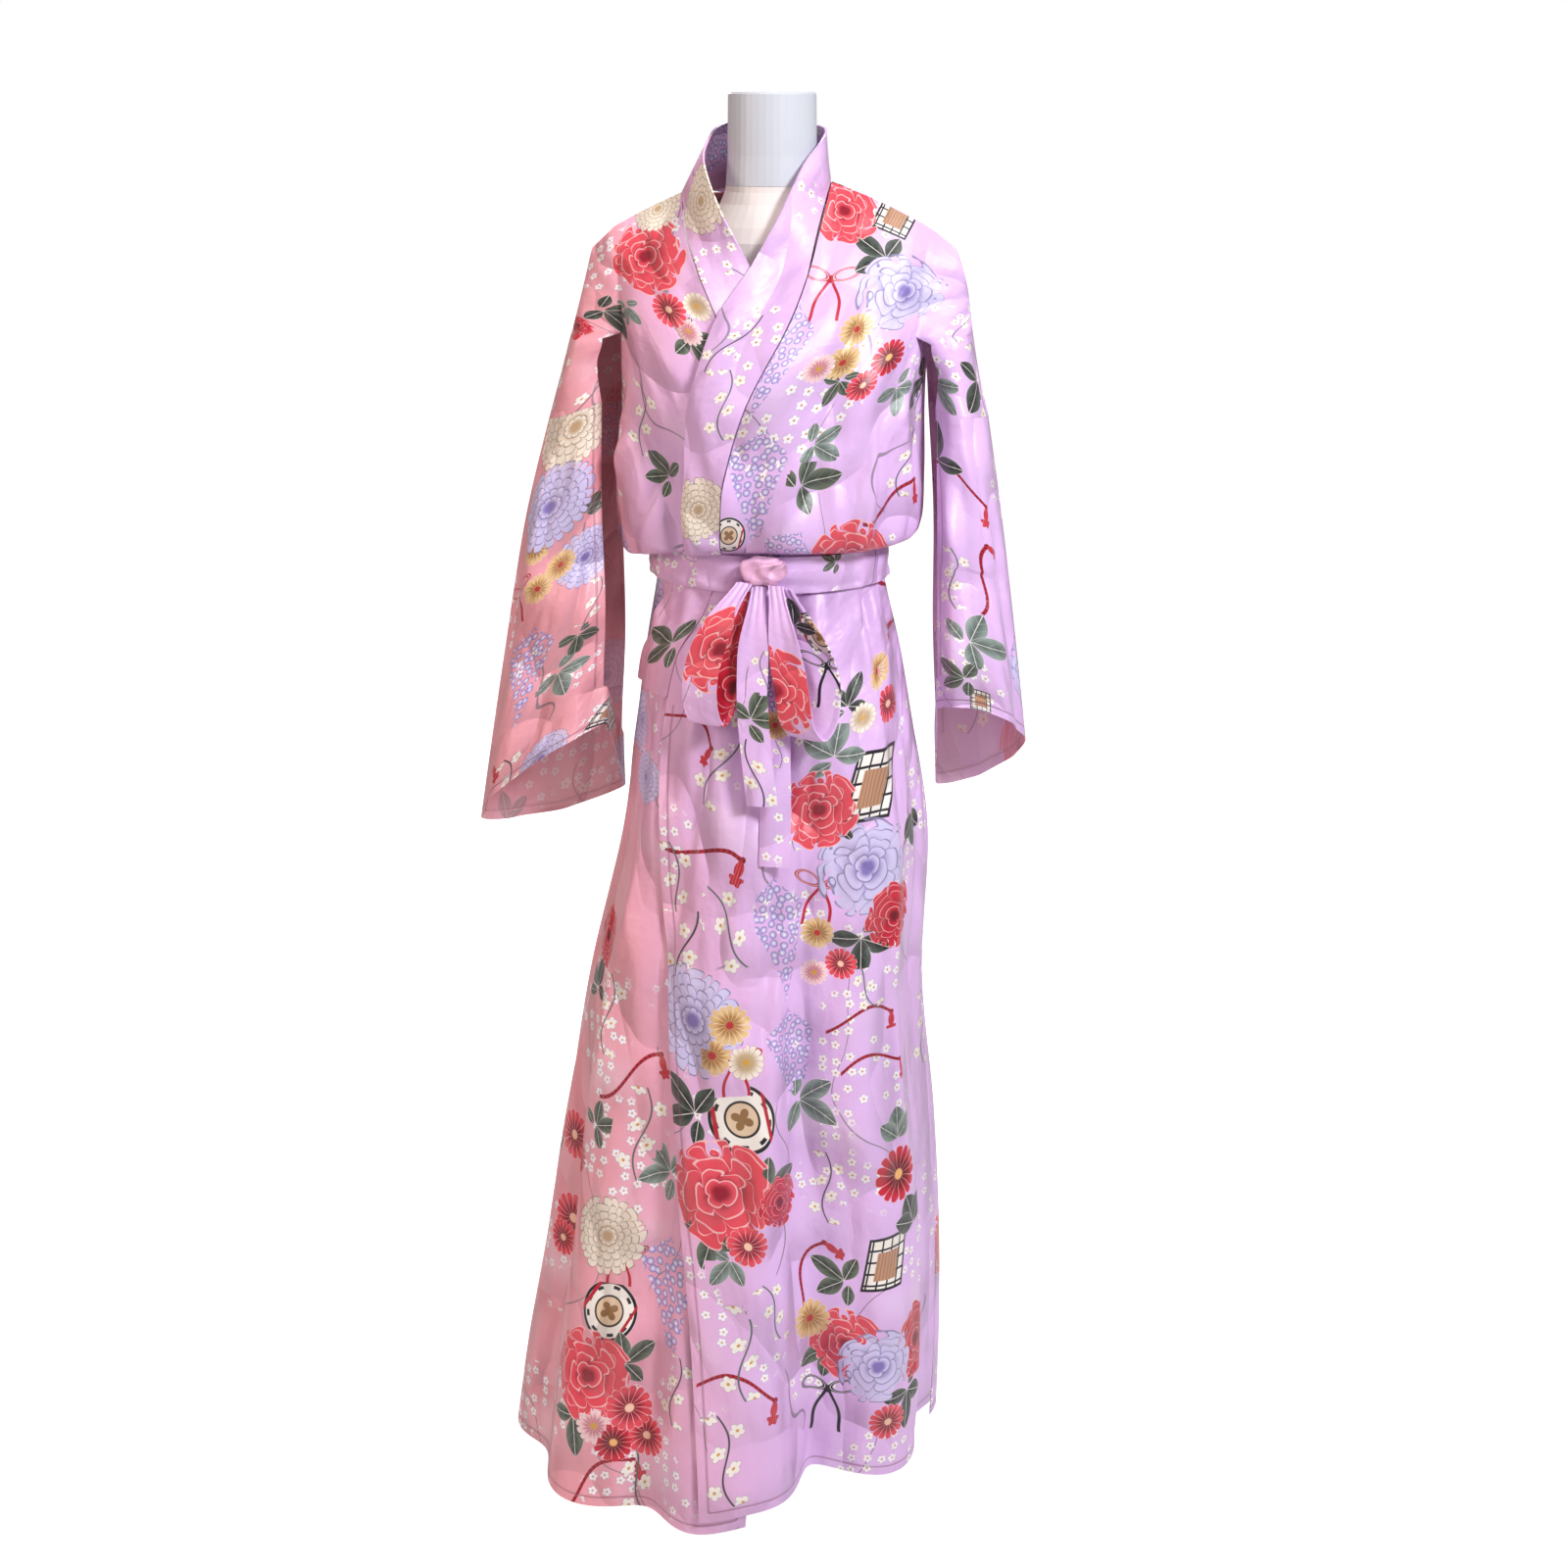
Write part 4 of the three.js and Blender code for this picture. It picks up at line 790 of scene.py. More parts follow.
def collar_band(name):
    """One doubled strip: up the over front, round the neck and down the under front."""
    across = np.linspace(0, 1, BAND_COLUMNS + 1)

    def station(level, seam_name, edge_name, hand, lift):
        row = row_at(BODY, level)
        seam = angle_at(level, row[seam_name]) - hand * 2 * SEAM_ANGLE
        return body_points(level, mix(seam, angle_at(level, row[edge_name]), across), lift)

    def neck_row(seam, edge):
        edge = np.array([edge["x"], edge["y"], edge["z"]], dtype=float)
        shares = mix(COLLAR_GAP / np.linalg.norm(edge - seam), 1, across)
        return seam + (edge - seam) * shares[:, None]

    def seam_point(level, seam_name, hand, lift=0.0):
        angle = angle_at(level, row_at(BODY, level)[seam_name]) - hand * 2 * SEAM_ANGLE
        return body_points(level, [angle], lift)[0]

    def horn(level, hand):
        return body_points(level, [neck_angle(level, hand)])[0]

    half = (NAPE_LEVEL + TOP) / 2
    levels = [x for x in np.concatenate([LOW_LEVELS, HIGH_LEVELS[1:]]) if BAND_END <= x <= LEVEL["chest"]]
    if levels[-1] < LEVEL["chest"]:
        levels.append(float(LEVEL["chest"]))
    over = [station(level, "overSeam", "overEdge", 1, OVERLAP_LIFT) for level in levels]
    under = [station(level, "underSeam", "underEdge", -1, 0.0) for level in levels[::-1]]
    edges = {row["name"]: row for row in NECK_EDGE}
    bone, slope = LEVEL["collarbone"], LEVEL["shoulderSlope"]
    keys = [
        over[-1],
        neck_row(seam_point(bone, "overSeam", 1, float(over_lift([0], bone)[0])), edges["leftBone"]),
        neck_row(seam_point(slope, "overSeam", 1), edges["leftNeck"]),
        neck_row(seam_point(TOP, "overSeam", 1), edges["leftSide"]),
        neck_row(horn(half, 1), edges["leftBack"]),
        neck_row(horn(NAPE_LEVEL, 1), edges["leftNape"]),
        neck_row(body_points(NAPE_LEVEL, [180])[0], edges["nape"]),
        neck_row(horn(NAPE_LEVEL, -1), edges["rightNape"]),
        neck_row(horn(half, -1), edges["rightBack"]),
        neck_row(seam_point(TOP, "underSeam", -1), edges["rightSide"]),
        neck_row(seam_point(slope, "underSeam", -1), edges["rightNeck"]),
        neck_row(seam_point(bone, "underSeam", -1), edges["rightBone"]),
        under[0],
    ]
    curves = [smooth_line([key[c] for key in keys], NECK_ROWS) for c in range(len(across))]
    neck = np.stack(curves, axis=1)
    neck[0], neck[-1] = keys[0], keys[-1]
    rows = np.array([*over[:-1], *neck, *under[1:]])[:, ::-1]
    flat = flat_of(lengths_across(rows), lengths_up(rows))
    free = flat[..., 0]
    cloth = Cloth()
    cloth.patch(rows, flat, np.minimum(free, np.broadcast_to(flat[:, :1, 1], free.shape)))
    return cloth.build(name, DOUBLED)


def front_share(angles):
    """1 where the sash crosses the over front, 0 where it doesn't."""
    return smooth(-150, -80, angles) * (1 - smooth(55, 120, angles))


def sash(name):
    """A doubled strip round the waist, lifted over the over front, with long tucks and the knot's pull."""
    ring = np.linspace(-180, 180, SASH_COLUMNS + 1)
    rows = []
    for share in np.linspace(0, 1, SASH_ROWS + 1):
        level = mix(LEVEL["sashFoot"] - SASH_DROP, LEVEL["sashHead"] - SASH_TUCK, share)
        lift = mix(SASH_LIFT - OVERLAP_LIFT, SASH_LIFT, front_share(ring))
        tucks = 0.8 * np.sin(math.pi * (3.2 * share + 0.9 * np.sin(np.radians(ring * 1.5 + 30))))
        pulled = 1.2 * bell(turn_between(ring, 4) / 26) * math.sin(math.pi * (4 * share + 0.2))
        rows.append(body_points(level, ring, lift + tucks + pulled))
    rows = np.array(rows)
    rows[:, -1] = rows[:, 0]
    flat = flat_of(lengths_across(rows), lengths_up(rows))
    cloth = Cloth()
    edge = np.minimum(flat[..., 1], flat[-1, 0, 1] - flat[..., 1])
    cloth.patch(rows, flat, edge)
    return cloth.build(name, DOUBLED)


def pinch_both(share):
    return mix(0.42, 1, smooth(0, 0.22, min(share, 1 - share)))


def pinch_start(share):
    return mix(0.45, 1, smooth(0, 0.3, share))


def strip(name, table, width, faces, count, pinch, ripple):
    """A tied strip along a centre line, its width along faces, gathered where it enters the knot."""
    places = []
    for row in table:
        level = level_at(row["z"])
        cloth_point = body_points(level, [angle_at(level, row["x"])], OVERLAP_LIFT)[0]
        places.append([row["x"], cloth_point[1] - row["clear"], row["z"]])
    line = smooth_line(places, count)
    across = np.array(faces) / np.linalg.norm(faces)
    rows = []
    for index, middle in enumerate(line):
        share = index / count
        along = line[min(index + 1, count)] - line[max(index - 1, 0)]
        out = np.cross(across, along / np.linalg.norm(along))
        half = width / 2 * pinch(share)
        offsets = np.linspace(-1, 1, BAND_COLUMNS + 1)
        gathered = (1 - pinch(share)) * 1.6 * np.cos(offsets * 9)
        cup = ripple * (offsets**2 - 0.4) + 0.5 * ripple * np.sin(offsets * 2.4 + share * 7) + gathered
        rows.append(middle + offsets[:, None] * half * across + cup[:, None] * out)
    rows = np.array(rows)
    flat = flat_of(lengths_across(rows), lengths_up(rows))
    cloth = Cloth()
    cloth.patch(rows, flat, np.minimum(flat[..., 0], lengths_across(rows)[:, -1:] - flat[..., 0]))
    return cloth.build(name, DOUBLED)


def knot(name):
    """The knot: a squared round pulled tight, its wraps and creases raised in it."""
    count_up, count_round = 48, 96
    rows = []
    for v in np.linspace(-math.pi / 2, math.pi / 2, count_up + 1):
        u = np.linspace(0, 2 * math.pi, count_round + 1)
        shape = np.stack([np.cos(v) * np.cos(u), np.cos(v) * np.sin(u), np.full(len(u), math.sin(v))], axis=1)
        squared = np.sign(shape) * np.abs(shape) ** KNOT_ROUNDING
        wrap = 1 + 0.08 * np.cos(v) * np.sin(7 * squared[:, 0] + 2.5 * squared[:, 2] + 0.6)
        wrap -= 0.14 * bell((squared[:, 0] + 0.35 - 0.35 * squared[:, 2]) / 0.1) * np.cos(v)
        wrap -= 0.12 * bell((squared[:, 0] - 0.4 - 0.4 * squared[:, 2]) / 0.09) * np.cos(v)
        squared *= wrap[:, None]
        half = np.array([KNOT["width"], KNOT["depth"], KNOT["height"]]) / 2 * KNOT_EASE
        rows.append(squared * half + np.array([KNOT["x"], KNOT["y"], KNOT["z"]]))
    rows = np.array(rows)
    rows[:, -1] = rows[:, 0]
    rows[0], rows[-1] = rows[0, 0], rows[-1, 0]
    mesh = bpy.data.meshes.new(name)
    flat = flat_of(lengths_across(rows), lengths_up(rows))
    ids = np.arange((count_up + 1) * count_round).reshape(count_up + 1, count_round)
    ids[0], ids[-1] = 0, ids[-1, 0]
    wrapped = np.concatenate([ids, ids[:, :1]], axis=1)
    faces, corners = [], []
    for r in range(count_up):
        for c in range(count_round):
            quad = [(r, c), (r, c + 1), (r + 1, c + 1), (r + 1, c)]
            kept = [q for i, q in enumerate(quad) if wrapped[q] not in [wrapped[p] for p in quad[:i]]]
            faces.append([int(wrapped[q]) for q in kept])
            corners.extend(flat[q] for q in kept)
    vertices = rows[:, :-1].reshape(-1, 3) * MM
    mesh.from_pydata(vertices.tolist(), [], faces)
    mesh.polygons.foreach_set("use_smooth", [True] * len(mesh.polygons))
    mesh.uv_layers.new(name="flat").data.foreach_set("uv", np.array(corners, dtype=np.float32).ravel())
    Cloth.attribute(mesh, "inside", "FLOAT", "FACE", np.zeros(len(mesh.polygons)))
    Cloth.attribute(mesh, "stitch", "FLOAT", "POINT", np.full(len(vertices), NO_EDGE))
    # the knot's painted-shade tone, between the warm and the lavender pink
    Cloth.attribute(mesh, "shade_tone", "FLOAT", "POINT", np.full(len(vertices), 0.6))
    for layer in PRINT_LAYERS:
        Cloth.attribute(mesh, layer, "FLOAT_VECTOR", "CORNER", np.tile(UNPRINTED, (len(corners), 1)))
    work = bmesh.new()
    work.from_mesh(mesh)
    bmesh.ops.delete(work, geom=[v for v in work.verts if not v.link_faces], context="VERTS")
    work.to_mesh(mesh)
    work.free()
    return linked(name, mesh)


# ---------------------------------------------------------------- numbers and colours in a node tree


def srgb(red, green, blue):
    """A colour in 0-255 as linear red, green, blue and 1."""
    parts = [value / 255 for value in (red, green, blue)]
    return tuple(p / 12.92 if p <= 0.04045 else ((p + 0.055) / 1.055) ** 2.4 for p in parts) + (1.0,)


KIND_STEP = 10.0  # a motif's code is its kind times this, plus its palette


class Number:
    """A number that a node tree works out."""

    def __init__(self, tree, socket):
        self.tree, self.socket = tree, socket

    def op(self, operation, *others):
        node = self.tree.nodes.new("ShaderNodeMath")
        node.operation = operation
        for slot, value in zip(node.inputs, (self, *others)):
            if isinstance(value, Number):
                self.tree.links.new(value.socket, slot)
            else:
                slot.default_value = value
        return Number(self.tree, node.outputs[0])

    def __add__(self, other):
        return self.op("ADD", other)

    def __sub__(self, other):
        return self.op("SUBTRACT", other)

    def __mul__(self, other):
        return self.op("MULTIPLY", other)

    def __truediv__(self, other):
        return self.op("DIVIDE", other)

    def times_plus(self, factor, extra):
        return self.op("MULTIPLY_ADD", factor, extra)

    def flipped(self):
        return self.op("MULTIPLY_ADD", -1.0, 1.0)

    def between(self, start, end):
        """0 at start, 1 at end, smooth between; start may be the larger."""
        node = self.tree.nodes.new("ShaderNodeMapRange")
        node.interpolation_type = "SMOOTHSTEP"
        self.tree.links.new(self.socket, node.inputs["Value"])
        node.inputs["From Min"].default_value = start
        node.inputs["From Max"].default_value = end
        return Number(self.tree, node.outputs["Result"])

    def band(self, middle, half, soft):
        """1 within half of middle, fading over soft."""
        return (self - middle).op("ABSOLUTE").between(half + soft, half)


def blend(tree, first, second, share):
    """One colour over another by a share; colours are sockets or tuples."""
    node = tree.nodes.new("ShaderNodeMix")
    node.data_type = "RGBA"
    for slot, value in ((node.inputs[0], share), (node.inputs[6], first), (node.inputs[7], second)):
        value = value.socket if isinstance(value, Number) else value
        if isinstance(value, bpy.types.NodeSocket):
            tree.links.new(value, slot)
        else:
            slot.default_value = value
    return node.outputs[2]


def pick_colour(tree, number, colours):
    """The colour whose place in the list is nearest to a whole number."""
    ramp = tree.nodes.new("ShaderNodeValToRGB")
    ramp.color_ramp.interpolation = "CONSTANT"
    steps = ramp.color_ramp.elements
    steps[0].position, steps[0].color = 0.0, colours[0]
    steps[1].position, steps[1].color = 1 / len(colours), colours[1]
    for index, colour in enumerate(colours[2:], 2):
        steps.new(index / len(colours)).color = colour
    tree.links.new(number.times_plus(1 / len(colours), 0.5 / len(colours)).socket, ramp.inputs[0])
    return ramp.outputs[0]


def new_group(name, inputs, outputs):
    tree = bpy.data.node_groups.new(name, "ShaderNodeTree")
    for label, kind in inputs:
        tree.interface.new_socket(label, in_out="INPUT", socket_type=kind)
    for label, kind in outputs:
        tree.interface.new_socket(label, in_out="OUTPUT", socket_type=kind)
    return tree, tree.nodes.new("NodeGroupInput"), tree.nodes.new("NodeGroupOutput")


def parts_of(tree, vector, count=2):
    """The first numbers of a vector."""
    split = tree.nodes.new("ShaderNodeSeparateXYZ")
    tree.links.new(vector, split.inputs[0])
    return [Number(tree, split.outputs[index]) for index in range(count)]


def length_of(a, b):
    return (a * a + b * b).op("SQRT")


def cells_of(tree, vector, scale):
    """Cells strewn over a plane, a little out of line."""
    node = tree.nodes.new("ShaderNodeTexVoronoi")
    node.voronoi_dimensions = "2D"
    node.inputs["Scale"].default_value = scale
    node.inputs["Randomness"].default_value = 0.55
    tree.links.new(vector, node.inputs["Vector"])
    return node.outputs


def motif_group(name):
    """A group for one layer of the print, with x, y, kind and palette of the motif that holds a place."""
    tree, entry, end = new_group(name, [("Place", "NodeSocketVector")],
                                 [("Color", "NodeSocketColor"), ("Mask", "NodeSocketFloat")])
    x, y, code = parts_of(tree, entry.outputs["Place"], 3)
    kind = (code * 0.1).times_plus(1.0, 0.001).op("FLOOR")
    return tree, entry.outputs["Place"], end, (x, y, kind, code - kind * KIND_STEP)


def finish_motif(tree, end, kind, first, *others):
    """Puts out one motif's colour and mask; they are given as pairs, in the order of kinds."""
    colour, mask = first
    for step, (shade, inside) in enumerate(others):
        later = kind.between(step + 0.45, step + 0.55)
        colour = blend(tree, colour, shade, later)
        mask = mask * later.flipped() + inside * later
    tree.links.new(colour, end.inputs["Color"])
    tree.links.new((mask * kind.between(-0.6, -0.4)).socket, end.inputs["Mask"])
    return tree


def noise_of(tree, vector, scale, detail=2.0):
    node = tree.nodes.new("ShaderNodeTexNoise")
    node.inputs["Scale"].default_value = scale
    node.inputs["Detail"].default_value = detail
    tree.links.new(vector, node.inputs["Vector"])
    return Number(tree, node.outputs["Fac"])


# ---------------------------------------------------------------- the printed motifs

# Each palette's deep, pale, rim and disc colours, from coral to salmon.
FLOWER_SHADES = [
    [(150, 20, 44), (232, 78, 92), (255, 206, 206), (250, 206, 176)],
    [(196, 168, 128), (246, 236, 218), (150, 132, 108), (206, 158, 70)],
    [(132, 116, 184), (214, 206, 242), (128, 118, 158), (236, 224, 170)],
    [(176, 122, 62), (232, 196, 138), (255, 240, 208), (184, 44, 50)],
    [(112, 8, 26), (206, 34, 58), (250, 176, 178), (244, 188, 120)],
    [(186, 92, 118), (240, 176, 196), (255, 232, 240), (214, 162, 74)],
    [(206, 128, 138), (250, 214, 214), (255, 244, 244), (214, 162, 74)],
]
LEAF_DEEP = [srgb(58, 68, 58), srgb(34, 42, 40), srgb(94, 108, 102), srgb(120, 106, 178)]
LEAF_PALE = [srgb(118, 130, 112), srgb(88, 98, 88), srgb(158, 174, 166), srgb(206, 196, 240)]
WHITE = (1, 1, 1, 1)
LINE_GREY = srgb(96, 88, 104)
GOLD = srgb(214, 162, 74)
CREAM = srgb(250, 246, 236)
BLACK = srgb(26, 24, 34)
CORD_RED = srgb(190, 28, 50)
# The warm ground pink is a painted shade colour, and the cool lavender pink the lit colour of the same cloth.
WARM_SHADE_GROUND, COOL_GROUND = srgb(240, 166, 176), srgb(230, 192, 242)
# The cloth-back pink is the duller wrong side of the cloth, made paler as painted light for the shaded
# insides of the robe.
THREAD, CLOTH_BACK_LIT = srgb(150, 90, 110), srgb(250, 204, 214)
FLORETS_PER_METRE = 62.0


def flower_group():
    """Peony (kind 0), chrysanthemum (1) and daisy (2), in rings of petals from the rim inward."""
    tree, place, end, (x, y, kind, palette) = motif_group("print_flower")
    later = [kind.between(step - 0.55, step - 0.45) for step in (1, 2)]

    def by_kind(*values):
        found = None
        for index, step in enumerate(later):
            change = values[index + 1] - values[index]
            found = step * change + values[0] if found is None else step.times_plus(change, found)
        return found

    wave = noise_of(tree, place, 2.2, 0.0) - 0.5
    radius = length_of(x, y) * (wave * by_kind(0.3, 0.1, 0.06) + 1.0)
    angle = y.op("ARCTAN2", x) + wave * by_kind(2.4, 0.5, 0.2)
    deep, pale, rim, disc = (
        pick_colour(tree, palette, [srgb(*row[column]) for row in FLOWER_SHADES]) for column in range(4)
    )
    is_disc = kind.between(1.45, 1.55)
    dip = by_kind(0.3, 0.2, 0.26)
    # each ring's size and number of petals for every kind, and where its first petal starts
    rings = [
        ((1.0, 1.0, 1.0), (7, 24, 15), 0.0),
        ((0.9, 0.82, 0.2), (6, 21, 24), 0.9),
        ((0.7, 0.63, 0.001), (6, 17, 24), 1.9),
        ((0.5, 0.44, 0.001), (4, 13, 24), 0.4),
        ((0.3, 0.26, 0.001), (3, 9, 24), 1.3),
    ]
    colour, mask = None, None
    for index, (sizes, counts, phase) in enumerate(rings):
        size = by_kind(*sizes) * 0.94
        lobe = (angle * (by_kind(*counts) * 0.5) + phase).op("SINE").op("ABSOLUTE")
        fall = lobe.flipped().op("POWER", 2.2)
        edge = size * (fall * dip).flipped()
        inside = (edge - radius).between(-0.008, 0.012)
        share = radius / edge
        shade = blend(tree, deep, pale, share.between(0.35, 0.85))
        shade = blend(tree, shade, deep, lobe.between(0.3, 0.02) * 0.6)
        shade = blend(tree, shade, rim, (edge - radius).between(0.034, 0.018) * 0.9)
        if index:
            shade = blend(tree, shade, disc, is_disc)
        else:
            shade = blend(tree, shade, rim, is_disc * lobe.between(0.17, 0.07))
        colour = shade if colour is None else blend(tree, colour, shade, inside)
        mask = inside if mask is None else mask
    tree.links.new(colour, end.inputs["Color"])
    tree.links.new(mask.socket, end.inputs["Mask"])
    return tree


def foliage_group():
    """Leaf sprig (kind 0), wisteria (1), blossom spray (2) and lobed leaf (3)."""
    tree, place, end, (x, y, kind, palette) = motif_group("print_foliage")
    deep, pale = (pick_colour(tree, palette, shades) for shades in (LEAF_DEEP, LEAF_PALE))

    def leaf(turn, length, width, foot=(0.0, -0.15)):
        c, s = math.cos(math.radians(turn)), math.sin(math.radians(turn))
        dx, dy = x - foot[0], y - foot[1]
        along = (dx * c + dy * s) / length
        side = (dy * c - dx * s).op("ABSOLUTE")
        half = (along * along.flipped()) * (4 * width)
        room = half - side
        inside = room.between(0.0, 0.02)
        shade = blend(tree, deep, pale, side.between(0.0, width) * 0.9)
        vein = ((along * 22.0 - side * 26.0).op("SINE")).between(0.8, 0.98) * 0.5
        shade = blend(tree, shade, pale, vein)
        shade = blend(tree, shade, CREAM, side.between(0.014, 0.006) * 0.8)
        return blend(tree, shade, CREAM, room.between(0.022, 0.01) * 0.8), inside

    def leaves(*blades):
        """Leaves over each other, each with its turn, length, width and foot."""
        colour, mask = leaf(*blades[0])
        for blade in blades[1:]:
            shade, inside = leaf(*blade)
            colour, mask = blend(tree, colour, shade, inside), mask.op("MAXIMUM", inside)
        return colour, mask

    sprig = leaves((196, 0.7, 0.2, (-0.05, -0.3)), (-8, 0.85, 0.24), (142, 1.0, 0.27), (78, 1.15, 0.3))

    down = y.times_plus(-0.5, 0.5)
    sway = (x + (y * 2.2).op("SINE") * 0.08).op("ABSOLUTE")
    envelope = (down.between(-0.05, 0.25) * (down * -0.62 + 0.68)) - sway
    petal = Number(tree, cells_of(tree, place, 6.2)["Distance"])
    blossom = blend(tree, CREAM, pale, petal.between(0.04, 0.2))
    blossom = blend(tree, blossom, deep, petal.between(0.2, 0.42) * 0.85)
    wisteria_mask = envelope.between(-0.02, 0.03) * petal.between(0.46, 0.4)

    stem_x = x - (y * 3.0).op("SINE") * 0.16
    stem = stem_x.op("ABSOLUTE").between(0.028, 0.012)
    cell = (y * 2.6).op("FLOOR")
    side_of = ((cell * 0.5).op("FRACT") * 4.0 - 1.0) * 0.2
    bud_x = (stem_x - side_of) * 2.6
    bud_y = (y * 2.6).op("FRACT") - 0.5
    bud = length_of(bud_x, bud_y)
    bud_lobe = (bud_y.op("ARCTAN2", bud_x) * 2.5).op("SINE").op("ABSOLUTE")
    bud_edge = bud_lobe * 0.16 + 0.3
    bud_in = (bud_edge - bud).between(0.0, 0.03) * y.op("ABSOLUTE").between(1.0, 0.96)
    bud_shade = blend(tree, CREAM, LINE_GREY, (bud_edge - bud).between(0.05, 0.02) * 0.7)
    bud_shade = blend(tree, bud_shade, GOLD, bud.between(0.11, 0.07))
    twig = stem * y.op("ABSOLUTE").between(1.0, 0.96)
    spray = blend(tree, deep, bud_shade, bud_in)
    spray_mask = bud_in.op("MAXIMUM", twig)

    foot = (0.0, -0.5)
    lobed = leaves((90, 1.0, 0.4, foot), (40, 0.9, 0.3, foot), (140, 0.9, 0.3, foot))
    return finish_motif(tree, end, kind, sprig, (blossom, wisteria_mask), (spray, spray_mask), lobed)


def ornament_group():
    """Cord with its tassel (kind 0), hand drum (1), lattice panel (2) and ribbon bow (3)."""
    tree, _, end, (x, y, kind, palette) = motif_group("print_ornament")
    off = y - (x * 2.3 + palette).op("SINE") * 0.34
    cord_in = off.op("ABSOLUTE").between(0.05, 0.035) * (x.op("ABSOLUTE").between(0.86, 0.84))
    braid = (x * 60.0 + off.op("ABSOLUTE") * 46.0).op("SINE").between(-0.2, 0.5)
    cord = blend(tree, srgb(132, 12, 32), CORD_RED, braid)
    tip_x, tip_y = x - 0.86, y - (palette + 1.978).op("SINE") * 0.34
    head = length_of(tip_x, tip_y).between(0.075, 0.06)
    bell_y, frill_y = tip_y + 0.19, tip_y + 0.4
    bell_room = (tip_x * tip_x * 3.4 + bell_y * bell_y).op("SQRT").between(0.17, 0.155)
    frill = (frill_y.op("ARCTAN2", tip_x) * 5.0).op("SINE") * 0.02 + 0.12
    frill_room = frill - (tip_x * tip_x * 0.7 + frill_y * frill_y).op("SQRT")
    skirt = bell_room.op("MAXIMUM", frill_room.between(0.0, 0.015))
    threads = (tip_x * 120.0).op("SINE").between(0.0, 0.9)
    tassel = blend(tree, CORD_RED, srgb(236, 110, 110), threads * 0.6)
    cord = blend(tree, cord, tassel, skirt)
    cord_mask = cord_in.op("MAXIMUM", head).op("MAXIMUM", skirt)

    radius = (x * x * 1.25 + y * y).op("SQRT")
    angle = y.op("ARCTAN2", x)
    studs = (angle * 9.0).op("SINE").between(0.2, 0.5) * radius.band(0.64, 0.035, 0.02)
    drum = blend(tree, CREAM, BLACK, radius.band(0.76, 0.035, 0.015))
    drum = blend(tree, drum, BLACK, studs)
    drum = blend(tree, drum, BLACK, radius.band(0.4, 0.02, 0.015))
    drum = blend(tree, drum, GOLD, radius.between(0.385, 0.37) * 0.55)
    clover = ((angle * 2.0).op("SINE").op("ABSOLUTE") * 0.16 + 0.12 - radius).between(0.0, 0.02)
    drum = blend(tree, drum, srgb(150, 112, 66), clover)
    drum = blend(tree, drum, CORD_RED, (x - 0.55 - y * 0.25).op("ABSOLUTE").between(0.045, 0.03))
    drum = blend(tree, drum, CORD_RED, (x + 0.62 - y * 0.3).op("ABSOLUTE").between(0.06, 0.04))
    drum_mask = radius.between(0.82, 0.8)

    lean = x - y * 0.22
    box = lean.op("ABSOLUTE").op("MAXIMUM", y.op("ABSOLUTE") * 0.8)
    bars, rails = ((way * rate).op("SINE").between(0.8, 0.92) for way, rate in ((lean, 24.0), (y, 20.0)))
    lattice = blend(tree, CREAM, BLACK, bars.op("MAXIMUM", rails))
    lattice = blend(tree, lattice, BLACK, box.between(0.5, 0.52))
    inner = lean.op("ABSOLUTE").op("MAXIMUM", (y + 0.05).op("ABSOLUTE") * 0.8).between(0.31, 0.29)
    slats = (lean * 70.0).op("SINE").between(0.0, 0.5)
    screen = blend(tree, srgb(196, 150, 116), srgb(150, 104, 84), slats * 0.6)
    lattice = blend(tree, lattice, screen, inner)
    lattice_mask = box.between(0.58, 0.56)

    loop_x = x.op("ABSOLUTE") - 0.42
    loop_y = y - 0.3 - x.op("ABSOLUTE") * 0.3
    loop = (loop_x * loop_x * 0.55 + loop_y * loop_y * 2.6).op("SQRT")
    ribbon = loop.band(0.26, 0.035, 0.02)
    trail = (x.op("ABSOLUTE") - 0.16 + y * 0.3 + (y * 5.0).op("SINE") * 0.06).op("ABSOLUTE")
    ends = trail.between(0.055, 0.035) * y.between(0.3, 0.26) * y.between(-0.92, -0.9)
    ribbon = ribbon.op("MAXIMUM", ends).op("MAXIMUM", length_of(x, y - 0.26).between(0.12, 0.1))
    bow = blend(tree, CORD_RED, BLACK, palette.between(4.4, 4.6))
    bow = blend(tree, bow, CREAM, loop.band(0.26, 0.006, 0.008) * 0.7)

    others = [(drum, drum_mask), (lattice, lattice_mask), (bow, ribbon)]
    return finish_motif(tree, end, kind, (cord, cord_mask), *others)


